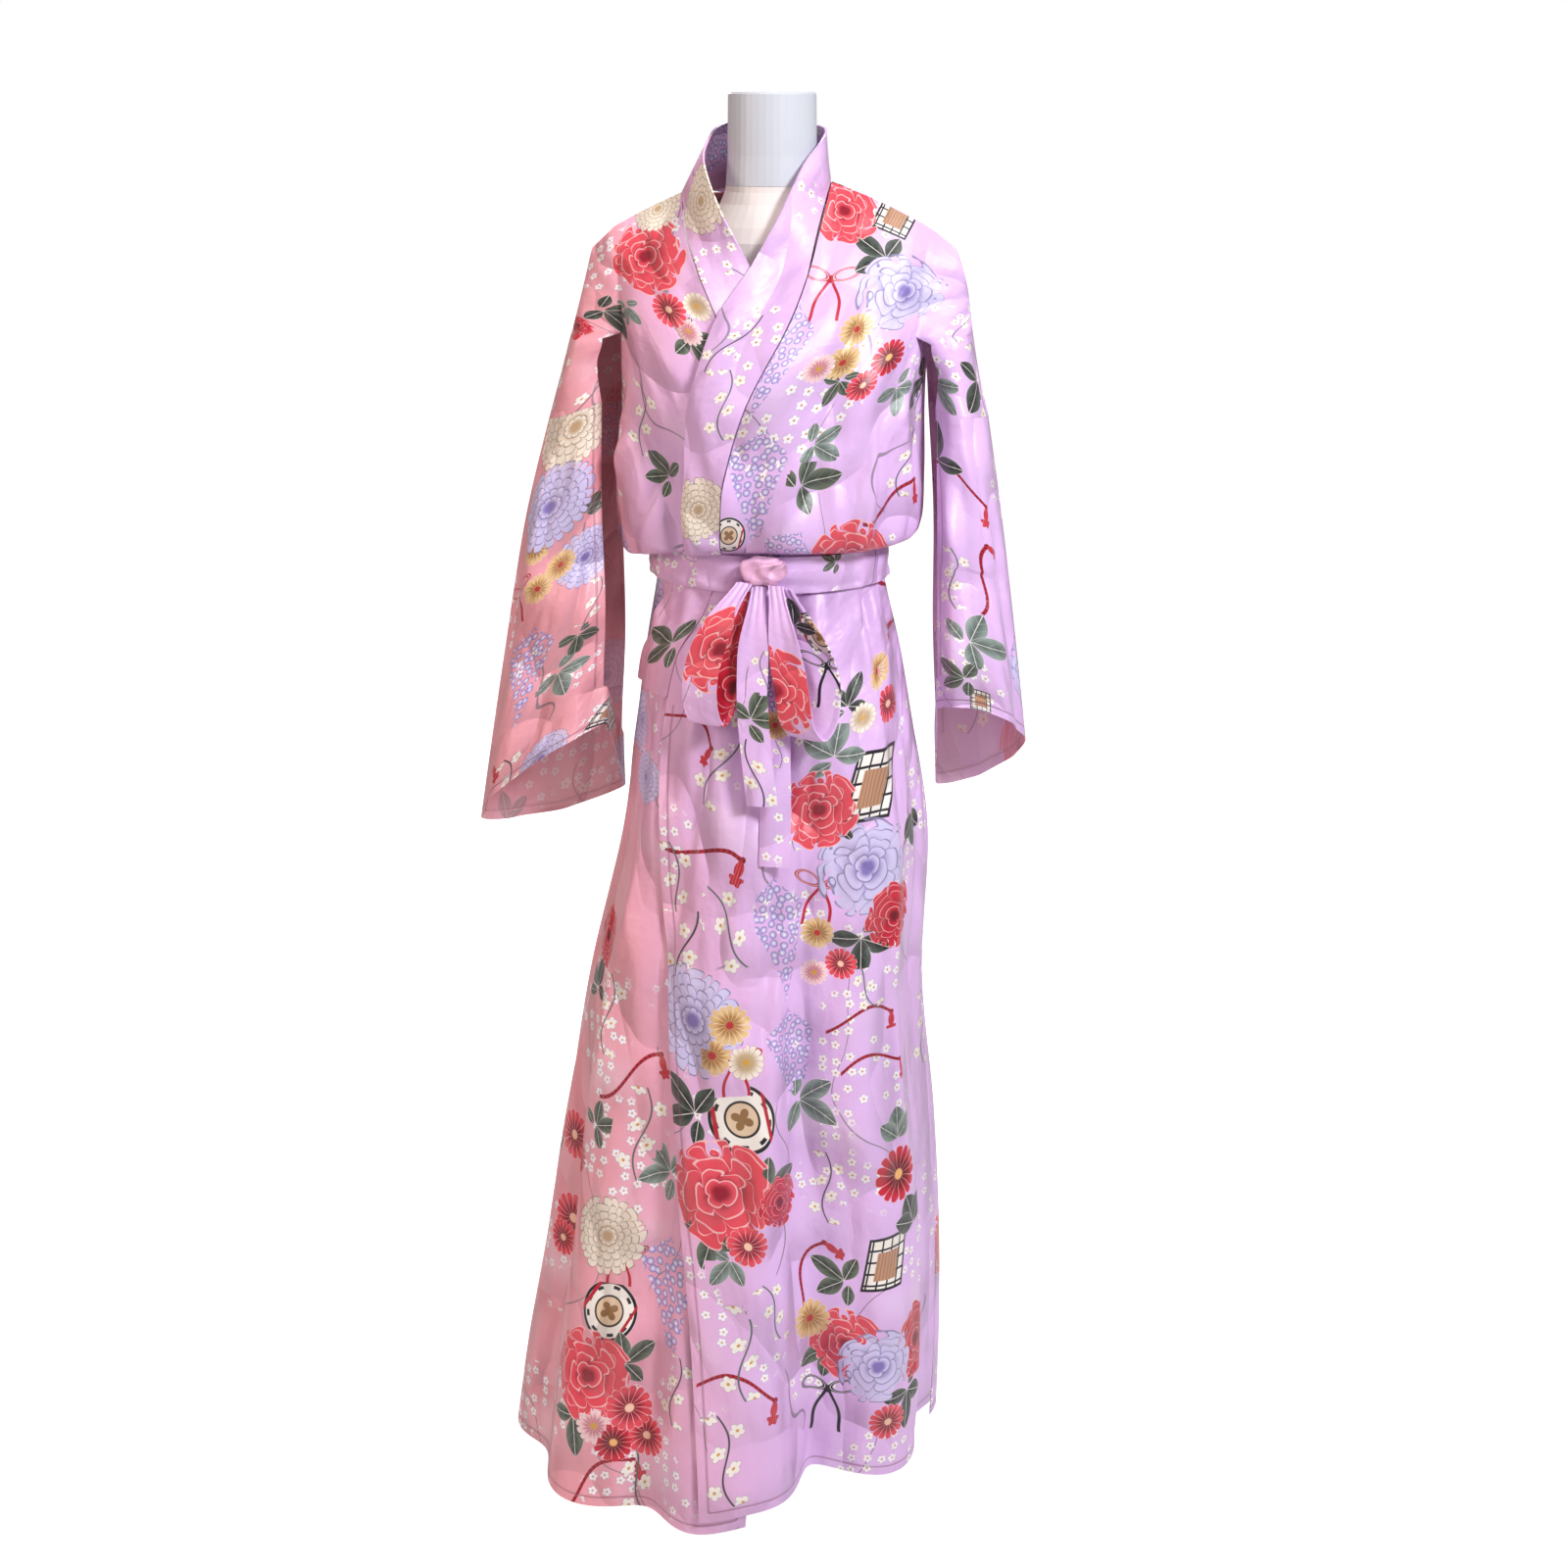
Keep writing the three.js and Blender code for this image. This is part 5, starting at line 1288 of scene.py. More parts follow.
def ground_group():
    """The ground: lavender pink that turns warmer and darker as painted shade where the tone is low, with a
    random drift, a pale haze, thin tendrils and small florets.
    """
    tree, entry, end = new_group("print_ground", [("Flat", "NodeSocketVector"), ("Tone", "NodeSocketFloat")],
                                 [("Color", "NodeSocketColor")])
    flat = entry.outputs["Flat"]
    shade_tone = Number(tree, entry.outputs["Tone"])
    drift = noise_of(tree, flat, 3.0)
    # painted shade: warm pink where the tone is low, lavender pink where it is high, shifted at random by the
    # drift
    shade = blend(tree, WARM_SHADE_GROUND, COOL_GROUND, (shade_tone + (drift - 0.5) * 0.7).between(0.0, 1.0))
    haze = noise_of(tree, flat, 7.0)
    shade = blend(tree, shade, srgb(248, 232, 246), haze.between(0.54, 0.76) * 0.4)
    bloom = noise_of(tree, flat, 6.0)
    wander = parts_of(tree, flat)[0] * 8.0 + noise_of(tree, flat, 4.5, 1.5) * 3.2
    tendril = (wander.op("FRACT") - 0.5).op("ABSOLUTE").between(0.011, 0.006)
    shade = blend(tree, shade, srgb(128, 118, 126), tendril * haze.between(0.47, 0.5) * 0.8)
    florets = cells_of(tree, flat, FLORETS_PER_METRE)
    offset = tree.nodes.new("ShaderNodeVectorMath")
    offset.operation = "SUBTRACT"
    tree.links.new(flat, offset.inputs[0])
    tree.links.new(florets["Position"], offset.inputs[1])
    fx, fy = (part * FLORETS_PER_METRE for part in parts_of(tree, offset.outputs[0]))
    chance = tree.nodes.new("ShaderNodeSeparateColor")
    tree.links.new(florets["Color"], chance.inputs[0])
    pick = Number(tree, chance.outputs[0])
    lobe = (fy.op("ARCTAN2", fx) * 2.5 + pick * 6.0).op("SINE").op("ABSOLUTE")
    reach = length_of(fx, fy)
    edge = lobe * 0.13 + 0.26
    petals = (edge - reach).between(0.0, 0.03) * pick.between(0.38, 0.4) * bloom.between(0.53, 0.56)
    rim = (edge - reach).between(0.055, 0.02) * 0.75
    floret = blend(tree, srgb(252, 248, 252), srgb(120, 108, 132), rim)
    floret = blend(tree, floret, srgb(206, 150, 90), reach.between(0.1, 0.06))
    shade = blend(tree, shade, floret, petals)
    tree.links.new(shade, end.inputs["Color"])
    return tree


THREAD_RATE = 9000.0  # radians of the weave's wave in a metre
STITCH_IN = 0.011  # metres from a cloth's free edge to its stitched hem


def relief_group():
    """Height of the woven face, its crumples and the stitched hems."""
    tree, entry, end = new_group("cloth_relief",
                                 [("Flat", "NodeSocketVector"), ("Stitch", "NodeSocketFloat")],
                                 [("Height", "NodeSocketFloat"), ("Seam", "NodeSocketFloat")])
    flat = entry.outputs["Flat"]
    stitch = Number(tree, entry.outputs["Stitch"])
    stretch = tree.nodes.new("ShaderNodeMapping")
    stretch.inputs["Scale"].default_value = (1.0, 0.35, 1.0)
    tree.links.new(flat, stretch.inputs["Vector"])
    crumple = noise_of(tree, stretch.outputs[0], 17.0, 2.5)
    fine = noise_of(tree, flat, 85.0, 2.0)
    pulled = (noise_of(tree, stretch.outputs[0], 9.0, 1.0) - 0.5).op("ABSOLUTE") * 2.0
    crossed = (noise_of(tree, flat, 7.0, 0.5) - 0.5).op("ABSOLUTE") * 2.0
    across, up = ((part * THREAD_RATE).op("SINE") for part in parts_of(tree, flat))
    weave = (across * up) * 0.0006
    groove = stitch.band(STITCH_IN, 0.0007, 0.0012)
    height = crumple * 0.42 + pulled * 1.05 + crossed * 0.95 + fine * 0.03 + weave - groove * 0.02
    tree.links.new(height.socket, end.inputs["Height"])
    tree.links.new(groove.socket, end.inputs["Seam"])
    return tree


PRINT_LAYERS = ("ornament", "foliage", "flower_low", "flower_top")
GROUPS = {
    "ornament": ornament_group(),
    "foliage": foliage_group(),
    "flower": flower_group(),
    "ground": ground_group(),
    "relief": relief_group(),
}


def attribute_of(tree, name, output):
    node = tree.nodes.new("ShaderNodeAttribute")
    node.attribute_name = name
    return node.outputs[output]


def placed(tree, group, **inputs):
    node = tree.nodes.new("ShaderNodeGroup")
    node.node_tree = GROUPS[group]
    for name, socket in inputs.items():
        tree.links.new(socket, node.inputs[name])
    return node.outputs


def new_material(name):
    material = bpy.data.materials.new(name)
    material.use_nodes = True
    return material, material.node_tree, material.node_tree.nodes["Principled BSDF"]


def bump_with(tree, shader, height, strength, distance):
    bump = tree.nodes.new("ShaderNodeBump")
    bump.inputs["Strength"].default_value = strength
    bump.inputs["Distance"].default_value = distance
    tree.links.new(height, bump.inputs["Height"])
    tree.links.new(bump.outputs[0], shader.inputs["Normal"])


def printed_satin(name):
    material, tree, shader = new_material(name)
    uv = tree.nodes.new("ShaderNodeUVMap")
    uv.uv_map = "flat"
    flat = uv.outputs[0]
    # the tone carries the ground's painted shade
    colour = placed(tree, "ground", Flat=flat, Tone=attribute_of(tree, "shade_tone", "Fac"))["Color"]
    for layer in PRINT_LAYERS:
        motif = placed(tree, layer.split("_")[0], Place=attribute_of(tree, layer, "Vector"))
        colour = blend(tree, colour, motif["Color"], motif["Mask"])
    relief = placed(tree, "relief", Flat=flat, Stitch=attribute_of(tree, "stitch", "Fac"))
    colour = blend(tree, colour, THREAD, Number(tree, relief["Seam"]) * 0.45)
    inside = Number(tree, attribute_of(tree, "inside", "Fac"))
    # Inside faces take the duller wrong-side colour, lightened as painted light where the insides lie in
    # shade.
    dull_and_lit = blend(tree, colour, CLOTH_BACK_LIT, 0.55)
    colour = blend(tree, colour, dull_and_lit, inside)
    tree.links.new(colour, shader.inputs["Base Color"])
    tree.links.new((inside * 0.25 + 0.33).socket, shader.inputs["Roughness"])
    shader.inputs["Specular IOR Level"].default_value = 0.6
    shader.inputs["Sheen Weight"].default_value = 0.12
    shader.inputs["Sheen Roughness"].default_value = 0.4
    bump_with(tree, shader, relief["Height"], 0.8, 0.045)
    return material


def plain(name, colour, roughness, relief=None):
    material, tree, shader = new_material(name)
    where = tree.nodes.new("ShaderNodeTexCoord").outputs["Object"]
    shift = noise_of(tree, where, 9.0)
    darker = tuple(part * 0.93 for part in colour[:3]) + (1.0,)
    tree.links.new(blend(tree, darker, colour, shift), shader.inputs["Base Color"])
    shader.inputs["Roughness"].default_value = roughness
    if relief:
        scale, strength = relief
        bump_with(tree, shader, noise_of(tree, where, scale).socket, strength, 0.0006)
    return material


SATIN = printed_satin("printed_satin")
JERSEY = plain("form_jersey", srgb(234, 226, 220), 0.78, (900.0, 0.35))
STEEL = plain("painted_steel", srgb(206, 212, 218), 0.42, (420.0, 0.06))
FLOOR = plain("pale_floor", srgb(240, 240, 240), 0.9)
floor_tree = FLOOR.node_tree
floor_shader = floor_tree.nodes["Principled BSDF"]
floor_shader.inputs["Emission Color"].default_value = WHITE
seen = floor_tree.nodes.new("ShaderNodeLightPath").outputs["Is Camera Ray"]
floor_tree.links.new(seen, floor_shader.inputs["Emission Strength"])


def finish_materials():
    for node, material in (
        ("form_torso", JERSEY),
        ("form_neck_block", STEEL),
        ("stand_pole", STEEL),
        ("stand_base", STEEL),
    ):
        for slot in NODES[node].material_slots:
            slot.material = material


# ---------------------------------------------------------------- laying out the print

# Motifs on each piece: the layer and kind, palette, place seen square on (x and z), radius and turn.
PEONY, CHRYSANTHEMUM, DAISY = ("flower", 0), ("flower", 1), ("flower", 2)
SPRIG, WISTERIA, SPRAY, BROAD_LEAF = ("foliage", 0), ("foliage", 1), ("foliage", 2), ("foliage", 3)
CORD, DRUM, LATTICE, BOW = ("ornament", 0), ("ornament", 1), ("ornament", 2), ("ornament", 3)
CORAL, CREAMY, LAVENDER, OCHRE, CRIMSON, DUSTY, SALMON = range(7)
GREEN, DARK, SAGE, LILAC = range(4)
MOTIFS = {
    "robe_front_right": [
        (PEONY, CORAL, -129, 1432, 51, 0), (DAISY, CORAL, -94, 1386, 22, 0),
        (DAISY, CREAMY, -63, 1388, 17, 0), (DAISY, SALMON, -71, 1364, 16, 0),
        (CHRYSANTHEMUM, CREAMY, -121, 1479, 30, 0), (SPRIG, DARK, -170, 1374, 40, 200),
        (SPRIG, GREEN, -64, 1353, 33, 215), (SPRIG, SAGE, -147, 1376, 31, 160),
        (SPRAY, SAGE, -126, 1272, 44, -20), (SPRIG, GREEN, -98, 1218, 32, 40),
        (PEONY, CRIMSON, -208, 1358, 25, 0), (SPRAY, GREEN, -229, 1303, 33, 0),
        (CHRYSANTHEMUM, LAVENDER, -128, 1047, 48, 0), (SPRIG, SAGE, -90, 429, 47, 60),
        (DAISY, CORAL, -223, 416, 32, 0), (DAISY, CRIMSON, -205, 409, 24, 0),
        (SPRIG, GREEN, -177, 464, 33, -60), (CORD, 0, -143, 529, 55, 20),
        (DAISY, CORAL, -225, 314, 34, 0), (DAISY, CORAL, -236, 280, 24, 0),
        (CHRYSANTHEMUM, CREAMY, -161, 342, 51, 0), (BOW, CRIMSON, -148, 307, 40, 0),
        (DRUM, CORAL, -161, 254, 47, -15), (PEONY, CORAL, -184, 173, 60, 0),
        (SPRIG, GREEN, -201, 111, 44, 200), (SPRIG, GREEN, -136, 200, 40, -40),
        (WISTERIA, LILAC, -84, 277, 73, 0), (SPRAY, SAGE, -124, 463, 58, 0),
        (DAISY, CORAL, -133, 134, 31, 0), (DAISY, CORAL, -112, 101, 28, 0),
        (DAISY, CRIMSON, -151, 98, 27, 0), (DAISY, SALMON, -175, 108, 24, 0),
        (SPRAY, SAGE, -123, 55, 59, 20), (SPRAY, GREEN, -73, 178, 47, 0), (CORD, 1, -169, 45, 56, 30),
        (PEONY, CRIMSON, -180, 671, 38, 0), (SPRAY, SAGE, -170, 595, 50, 0),
        (SPRIG, DARK, -192, 611, 35, 0), (CHRYSANTHEMUM, LAVENDER, -140, 920, 38, 0),
        (CHRYSANTHEMUM, LAVENDER, -128, 874, 31, 0),
    ],
    "robe_front_left": [
        (PEONY, CORAL, 80, 1478, 40, 0), (LATTICE, CORAL, 132, 1472, 35, 0),
        (PEONY, LAVENDER, 145, 1399, 54, 0), (SPRIG, DARK, 120, 1435, 40, 80),
        (SPRIG, DARK, 164, 1307, 41, 150), (SPRIG, SAGE, 142, 1300, 31, 220),
        (BOW, CORAL, 73, 1406, 37, 10), (DAISY, OCHRE, 101, 1366, 19, 0),
        (DAISY, OCHRE, 90, 1336, 19, 0), (DAISY, SALMON, 67, 1333, 16, 0),
        (DAISY, CRIMSON, 134, 1337, 22, 0), (DAISY, CORAL, 109, 1312, 18, 0),
        (SPRIG, GREEN, 85, 1312, 24, 180), (WISTERIA, LILAC, 24, 1337, 50, 0),
        (WISTERIA, LILAC, 2, 1208, 59, 0), (SPRIG, GREEN, 54, 1213, 41, -60),
        (SPRIG, SAGE, 66, 1252, 32, -100), (DRUM, CORAL, -26, 1158, 25, 0), (CORD, 0, 134, 1183, 53, 5),
        (SPRAY, GREEN, 153, 1228, 38, 0), (SPRAY, SAGE, 226, 1303, 48, 10),
        (SPRAY, GREEN, 209, 1366, 33, 0), (DAISY, OCHRE, 127, 992, 21, 0),
        (DAISY, CORAL, 139, 961, 22, 0), (DAISY, CREAMY, 115, 955, 18, 0),
        (SPRIG, SAGE, 86, 917, 44, 10), (CORD, 1, 131, 1062, 44, -50),
        (LATTICE, CORAL, 128, 878, 54, 0), (BROAD_LEAF, DARK, 169, 811, 39, 180),
        (PEONY, LAVENDER, 125, 787, 60, 0), (PEONY, CORAL, 72, 857, 47, 0),
        (PEONY, CRIMSON, 157, 722, 43, 0), (SPRIG, DARK, 123, 708, 45, 190),
        (SPRIG, DARK, 84, 831, 34, 120), (BOW, CORAL, 74, 758, 42, -10), (DAISY, OCHRE, 74, 711, 20, 0),
        (DAISY, CORAL, 98, 676, 20, 0), (DAISY, SALMON, 69, 671, 17, 0),
        (SPRAY, SAGE, 126, 658, 39, 30), (CORD, 0, -60, 809, 61, -20), (SPRAY, SAGE, -86, 761, 53, 10),
        (SPRAY, GREEN, -72, 701, 63, -15), (SPRAY, SAGE, -20, 722, 56, 30),
        (WISTERIA, LILAC, 32, 711, 66, 0), (WISTERIA, LILAC, 45, 559, 62, 0),
        (BROAD_LEAF, GREEN, -70, 651, 29, 0), (CHRYSANTHEMUM, LAVENDER, -60, 621, 67, 0),
        (DAISY, OCHRE, -18, 617, 26, 0), (DAISY, OCHRE, -36, 583, 26, 0),
        (DAISY, CREAMY, -1, 573, 23, 0), (BOW, CRIMSON, -14, 560, 41, 0),
        (DRUM, CORAL, -2, 505, 53, 20), (SPRIG, DARK, -60, 515, 49, 60),
        (PEONY, CORAL, -25, 428, 68, 0), (SPRIG, GREEN, 31, 419, 47, -60),
        (PEONY, CRIMSON, 40, 404, 34, 0), (DAISY, CORAL, 6, 356, 26, 0),
        (SPRIG, GREEN, -32, 367, 42, 170), (SPRIG, SAGE, -16, 341, 34, 150),
        (SPRIG, SAGE, 60, 513, 47, -110), (SPRAY, GREEN, 87, 398, 46, 0), (CORD, 1, 71, 295, 54, 60),
        (CORD, 2, 140, 556, 48, 10), (BROAD_LEAF, SAGE, 165, 479, 39, 0),
        (DAISY, CRIMSON, 169, 415, 37, 0), (BROAD_LEAF, DARK, 183, 356, 44, 20),
        (LATTICE, CORAL, 162, 307, 47, 0), (PEONY, CORAL, 116, 210, 49, 0),
        (PEONY, LAVENDER, 156, 181, 52, 0), (PEONY, CRIMSON, 195, 190, 52, 0),
        (DAISY, OCHRE, 71, 233, 27, 0), (SPRIG, GREEN, 89, 188, 37, 120),
        (DAISY, CORAL, 167, 106, 25, 0), (SPRIG, DARK, 189, 126, 44, 190), (BOW, DUSTY, 96, 131, 48, 0),
        (SPRIG, GREEN, 105, 295, 42, 70), (SPRAY, SAGE, 7, 235, 60, 0), (CORD, 2, -1, 187, 57, -10),
        (SPRAY, GREEN, -12, 107, 59, 10), (SPRAY, SAGE, 37, 273, 44, 20),
        (SPRAY, SAGE, -35, 907, 52, -20), (CORD, 1, -77, 942, 47, -30), (SPRAY, SAGE, 185, 540, 45, 0),
        (CORD, 1, 125, 612, 49, 0), (SPRIG, DARK, 99, 968, 33, 0), (SPRAY, SAGE, 48, 831, 21, 0),
    ],
    "robe_collar_band": [
        (CHRYSANTHEMUM, CREAMY, -66, 1488, 40, 0), (SPRAY, SAGE, 4, 1403, 37, 20),
        (SPRAY, GREEN, -21, 1354, 37, -30), (SPRAY, SAGE, -28, 1293, 40, 10),
        (CHRYSANTHEMUM, CREAMY, -60, 1183, 39, 0), (SPRIG, GREEN, -102, 1021, 43, 90),
    ],
    "robe_sleeve_right": [
        (CHRYSANTHEMUM, CREAMY, -206, 1253, 56, 0), (CHRYSANTHEMUM, LAVENDER, -238, 1168, 57, 0),
        (BROAD_LEAF, GREEN, -192, 1172, 27, -30), (CHRYSANTHEMUM, LAVENDER, -200, 1115, 42, 0),
        (DAISY, OCHRE, -255, 1120, 21, 0), (DAISY, OCHRE, -227, 1101, 20, 0),
        (DAISY, OCHRE, -254, 1074, 20, 0), (BOW, CRIMSON, -278, 1055, 38, 15),
        (WISTERIA, LILAC, -270, 976, 63, 0), (SPRIG, SAGE, -228, 979, 43, 220),
        (SPRAY, SAGE, -192, 1055, 41, 0), (SPRAY, GREEN, -280, 839, 48, 30),
        (CORD, 0, -317, 789, 57, 35), (CHRYSANTHEMUM, LAVENDER, -231, 853, 39, 0),
        (SPRIG, GREEN, -207, 1024, 33, 200),
    ],
    "robe_sleeve_left": [
        (CORD, 2, 200, 1203, 47, -15), (CORD, 0, 238, 1098, 48, 60), (SPRAY, SAGE, 206, 1100, 39, 0),
        (SPRIG, SAGE, 234, 1029, 48, -80), (SPRIG, GREEN, 218, 992, 35, 60),
        (LATTICE, CORAL, 241, 965, 21, 0), (CORD, 1, 244, 866, 41, 50), (SPRIG, DARK, 178, 1231, 41, 0),
    ],
    "robe_sash": [
        (SPRAY, SAGE, -82, 1122, 16, 80), (SPRIG, GREEN, 79, 1122, 17, 70),
    ],
    "bow_loop_right": [
        (BOW, DUSTY, 81, 1009, 40, 0), (DRUM, CORAL, 72, 1053, 29, 0), (SPRIG, DARK, 24, 1059, 33, 0),
        (DRUM, CORAL, 61, 1061, 21, 0),
    ],
    "bow_loop_left": [
        (PEONY, CORAL, -54, 1059, 57, 0), (PEONY, CRIMSON, -20, 995, 51, 0),
        (SPRIG, DARK, -57, 1010, 40, 200), (SPRIG, SAGE, -22, 1064, 28, 20),
    ],
    "bow_tail_front": [
        (SPRIG, GREEN, 5, 971, 36, 220), (SPRAY, GREEN, 6, 908, 47, 0), (SPRAY, SAGE, 15, 1012, 28, 0),
    ],
    "bow_tail_back": [
        (DAISY, OCHRE, 24, 955, 17, 0), (SPRAY, SAGE, 30, 930, 23, 0),
    ],
    "robe_back": [
        (PEONY, CRIMSON, 176, 1284, 30, 0),
    ],
}
CLEARANCE = 1.35  # a motif's own square reaches this many radii
# Motifs of the hidden sides, taken in turn: the layer and kind, palette and radius.
LOOSE_BACK = [
    (PEONY, CORAL, 52), (WISTERIA, LILAC, 52), (DAISY, OCHRE, 21), (SPRAY, SAGE, 46),
    (CHRYSANTHEMUM, LAVENDER, 50), (SPRIG, GREEN, 36), (DAISY, CORAL, 22), (CORD, 0, 56),
    (PEONY, LAVENDER, 50), (DRUM, CORAL, 42), (SPRAY, GREEN, 44), (SPRIG, DARK, 38), (PEONY, CRIMSON, 42),
    (CHRYSANTHEMUM, CREAMY, 44), (BOW, CORAL, 40), (LATTICE, CORAL, 42),
]
LOOSE_SHARE = 0.0042  # square metres of cloth to one loose motif
LOOSE_SEED = 11
LOOSE_APART = 0.75  # of the sum of two motifs' radii
LOOSE_TURN = 0.6  # radians either way
FAR = 9.0  # radii away from a motif, for a place that has none
UNPRINTED = [FAR, FAR, -1.0]
OWN_LAYERS = {"flower": ["flower_low", "flower_top"], "foliage": ["foliage"], "ornament": ["ornament"]}


def shade_tone_of(centre):
    """0 where the cloth is painted warm, darker pink as shade, 1 where it is the lit lavender pink; warm
    towards the wearer's right (-X), a little more lavender round the waist.
    """
    x, z = centre[..., 0], centre[..., 2]
    waist = np.exp(-(((z - 1180) / 420) ** 2))
    return np.clip((x + 190) / 260 + 0.3 * waist * np.clip((x + 190) / 60, 0, 1), 0, 1)


def layer_for(kind, taken, place, reach):
    """The first layer of the kind's own where a motif meets no other."""
    own = OWN_LAYERS[kind[0]]
    for layer in own:
        if all(np.hypot(*(place - other)) > reach + size for other, size in taken[layer]):
            return layer
    return own[0]


def paint(mesh, name, corner_flats, outer, centre, normal):
    """Gives every face corner its place in the nearest motif of each layer."""
    front = normal[:, 1] < 0
    wanted = []
    for kind, palette, x, z, radius, turn in MOTIFS.get(name, []):
        away = np.hypot(centre[:, 0] - x, centre[:, 2] - z) + np.where(front, 0, 1000)
        wanted.append((kind, palette, outer[np.argmin(away)].mean(axis=0), radius * MM, math.radians(turn)))
    rng = np.random.default_rng(LOOSE_SEED + len(name))
    hidden = np.flatnonzero(~front)
    across, up = outer[hidden, 1] - outer[hidden, 0], outer[hidden, 3] - outer[hidden, 0]
    area = (np.linalg.norm(across, axis=1) * np.linalg.norm(up, axis=1)).sum()
    for index in range(int(area / LOOSE_SHARE)):
        kind, palette, radius = LOOSE_BACK[index % len(LOOSE_BACK)]
        place = outer[hidden[rng.integers(len(hidden))]].mean(axis=0)
        if all(np.hypot(*(place - other[2])) > LOOSE_APART * (radius * MM + other[3]) for other in wanted):
            wanted.append((kind, palette, place, radius * MM, rng.uniform(-LOOSE_TURN, LOOSE_TURN)))
    middle = corner_flats.mean(axis=1)
    taken = {layer: [] for layer in PRINT_LAYERS}
    found = {layer: np.tile(UNPRINTED, corner_flats.shape[:2] + (1,)) for layer in PRINT_LAYERS}
    nearest = {layer: np.full(len(middle), CLEARANCE) for layer in PRINT_LAYERS}
    for kind, palette, place, radius, turn in wanted:
        layer = layer_for(kind, taken, place, radius)
        taken[layer].append((place, radius))
        away = np.linalg.norm(middle - place, axis=1) / radius
        mine = away < nearest[layer]
        nearest[layer][mine] = away[mine]
        local = (corner_flats[mine] - place) / radius
        c, s = math.cos(turn), math.sin(turn)
        found[layer][mine, :, 0] = local[..., 0] * c + local[..., 1] * s
        found[layer][mine, :, 1] = local[..., 1] * c - local[..., 0] * s
        found[layer][mine, :, 2] = kind[1] * KIND_STEP + palette
    for layer in PRINT_LAYERS:
        Cloth.attribute(mesh, layer, "FLOAT_VECTOR", "CORNER", found[layer])


# ---------------------------------------------------------------- assembly

sheets = {
    "back": back("robe_back"),
    "front_right": front("robe_front_right", -1, DROP_RIGHT, "underSeam", 0),
    "front_left": front("robe_front_left", 1, DROP_LEFT, "overSeam", OVER_HEM_RISE),
    "collar_band": collar_band("robe_collar_band"),
    "sleeve_right": sleeve("robe_sleeve_right", SLEEVE_RIGHT, -1),
    "sleeve_left": sleeve("robe_sleeve_left", SLEEVE_LEFT, 1),
    "sash": sash("robe_sash"),
    "sash_loop_right": strip("bow_loop_right", LOOP_RIGHT, 40, (0.95, -0.31, 0), 150, pinch_both, 1.6),
    "sash_loop_left": strip("bow_loop_left", LOOP_LEFT, 40, (0.97, -0.24, 0), 150, pinch_both, 1.6),
    "sash_tail_front": strip("bow_tail_front", TAIL_FRONT, 34, (0.95, -0.1, 0), 90, pinch_start, 1.2),
    "sash_tail_back": strip("bow_tail_back", TAIL_BACK, 34, (0.98, -0.05, 0), 110, pinch_start, 1.2),
}
sash_knot = knot("bow_knot")

# Each cut: flat width and length in metres, its area where the cut isn't a rectangle, and how it is held.
CUTS = {
    "back": (1.02, 1.5, 1.1, "hung", ["form_torso"]),
    "front_right": (0.66, 1.5, 0.62, "hung", ["form_torso"]),
    "front_left": (0.66, 1.5, 0.62, "hung", ["form_torso"]),
    "collar_band": (0.07, 1.6, None, "hung", ["form_torso"]),
    "sleeve_right": (0.48, 0.52, 0.2, "hung", ["robe_front_right", "robe_back"]),
    "sleeve_left": (0.38, 0.42, 0.13, "hung", ["robe_front_left", "robe_back"]),
    "sash": (0.04, 0.81, None, "stretched", ["robe_front_left", "robe_back"]),
    "sash_loop_right": (0.04, 0.32, None, "folded", ["bow_knot"]),
    "sash_loop_left": (0.04, 0.32, None, "folded", ["bow_knot"]),
    "sash_tail_front": (0.034, 0.24, None, "hung", ["bow_knot"]),
    "sash_tail_back": (0.034, 0.31, None, "hung", ["bow_knot"]),
}

finish_materials()

for node, obj in {**sheets, "sash_knot": sash_knot}.items():
    obj.data.materials.append(SATIN)
    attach(obj, "root")
    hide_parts(node)
for node, (width, length, area, held, rests) in CUTS.items():
    with_pieces = [sash_knot] if node == "sash" else []

# ---------------------------------------------------------------- floor, light and camera

floor_mesh = bpy.data.meshes.new("floor")
floor_mesh.from_pydata([(-30, -30, 0), (30, -30, 0), (30, 30, 0), (-30, 30, 0)], [], [(0, 1, 2, 3)])
floor_mesh.materials.append(FLOOR)
linked("floor", floor_mesh)


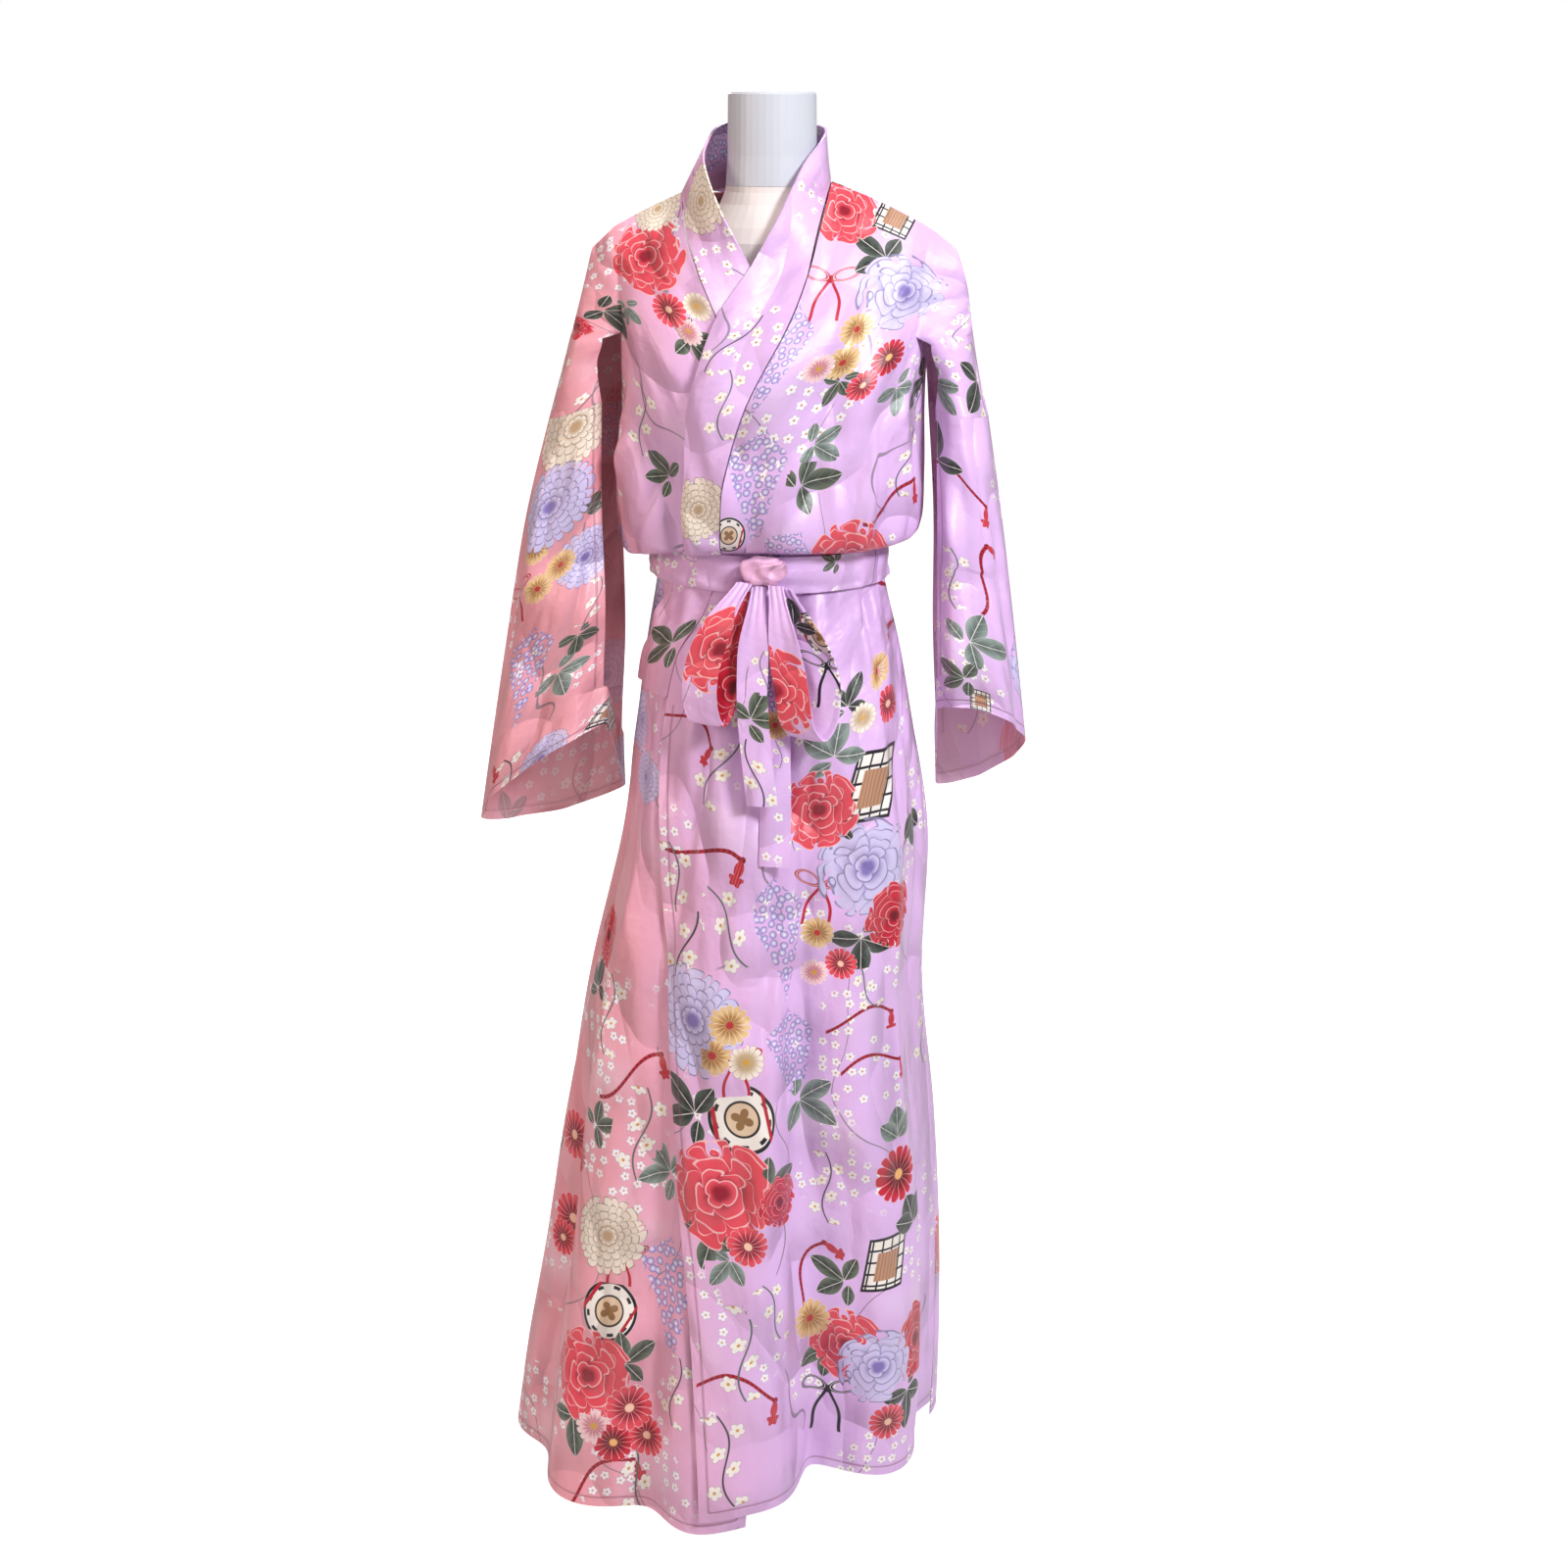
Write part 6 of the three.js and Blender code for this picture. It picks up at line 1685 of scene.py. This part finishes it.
def softbox(name, place, target, size, power, colour=(1, 1, 1)):
    light = bpy.data.lights.new(name, "AREA")
    light.energy, light.size, light.color = power, size, colour
    obj = linked(name, light)
    obj.location = place
    obj.rotation_euler = (Vector(target) - Vector(place)).to_track_quat("-Z", "Y").to_euler()


softbox("key_softbox", (1.7, -1.6, 2.75), (0, 0, 1.3), 0.5, 66, (0.93, 0.94, 1.0))
softbox("fill_softbox", (-2.4, -1.6, 2.2), (0, 0, 1.0), 0.8, 24, (1.0, 0.74, 0.68))
softbox("top_softbox", (0.2, -0.7, 3.3), (0, 0, 1.1), 0.9, 16)
softbox("rear_softbox", (-0.8, 2.6, 2.4), (0, 0, 1.0), 1.2, 26)

SURROUND = (1.0, 0.84, 0.8, 1)
WORLD_LIGHT = 0.27  # what the white surround adds; the camera sees it at full brightness
world = bpy.data.worlds.new("studio")
bpy.context.scene.world = world
world.use_nodes = True
world_tree = world.node_tree
seen_directly = world_tree.nodes.new("ShaderNodeLightPath").outputs["Is Camera Ray"]
brightness = world_tree.nodes.new("ShaderNodeMapRange")
brightness.inputs["To Min"].default_value = WORLD_LIGHT
world_tree.links.new(seen_directly, brightness.inputs["Value"])
background = world_tree.nodes["Background"]
surround = blend(world_tree, SURROUND, WHITE, Number(world_tree, seen_directly))
world_tree.links.new(surround, background.inputs["Color"])
world_tree.links.new(brightness.outputs["Result"], background.inputs["Strength"])
bpy.context.scene.view_settings.view_transform = "Standard"

CAMERA_HEIGHT, CAMERA_DISTANCE, CAMERA_PITCH, CAMERA_AZIMUTH = 1.595, 2.1, -20.0, 8.0
FOCAL, SENSOR = 43.65, 36.0
IMAGE, AXIS_X = 1600, 788
camera_data = bpy.data.cameras.new("camera")
camera_data.lens, camera_data.sensor_width = FOCAL, SENSOR
camera_data.shift_x = (IMAGE / 2 - AXIS_X) / IMAGE
camera_data.clip_end = 100
camera = linked("camera", camera_data)
turn = math.radians(CAMERA_AZIMUTH)
camera.location = (CAMERA_DISTANCE * math.sin(turn), -CAMERA_DISTANCE * math.cos(turn), CAMERA_HEIGHT)
camera.rotation_euler = Euler((math.radians(90 + CAMERA_PITCH), 0, turn))
bpy.context.scene.camera = camera
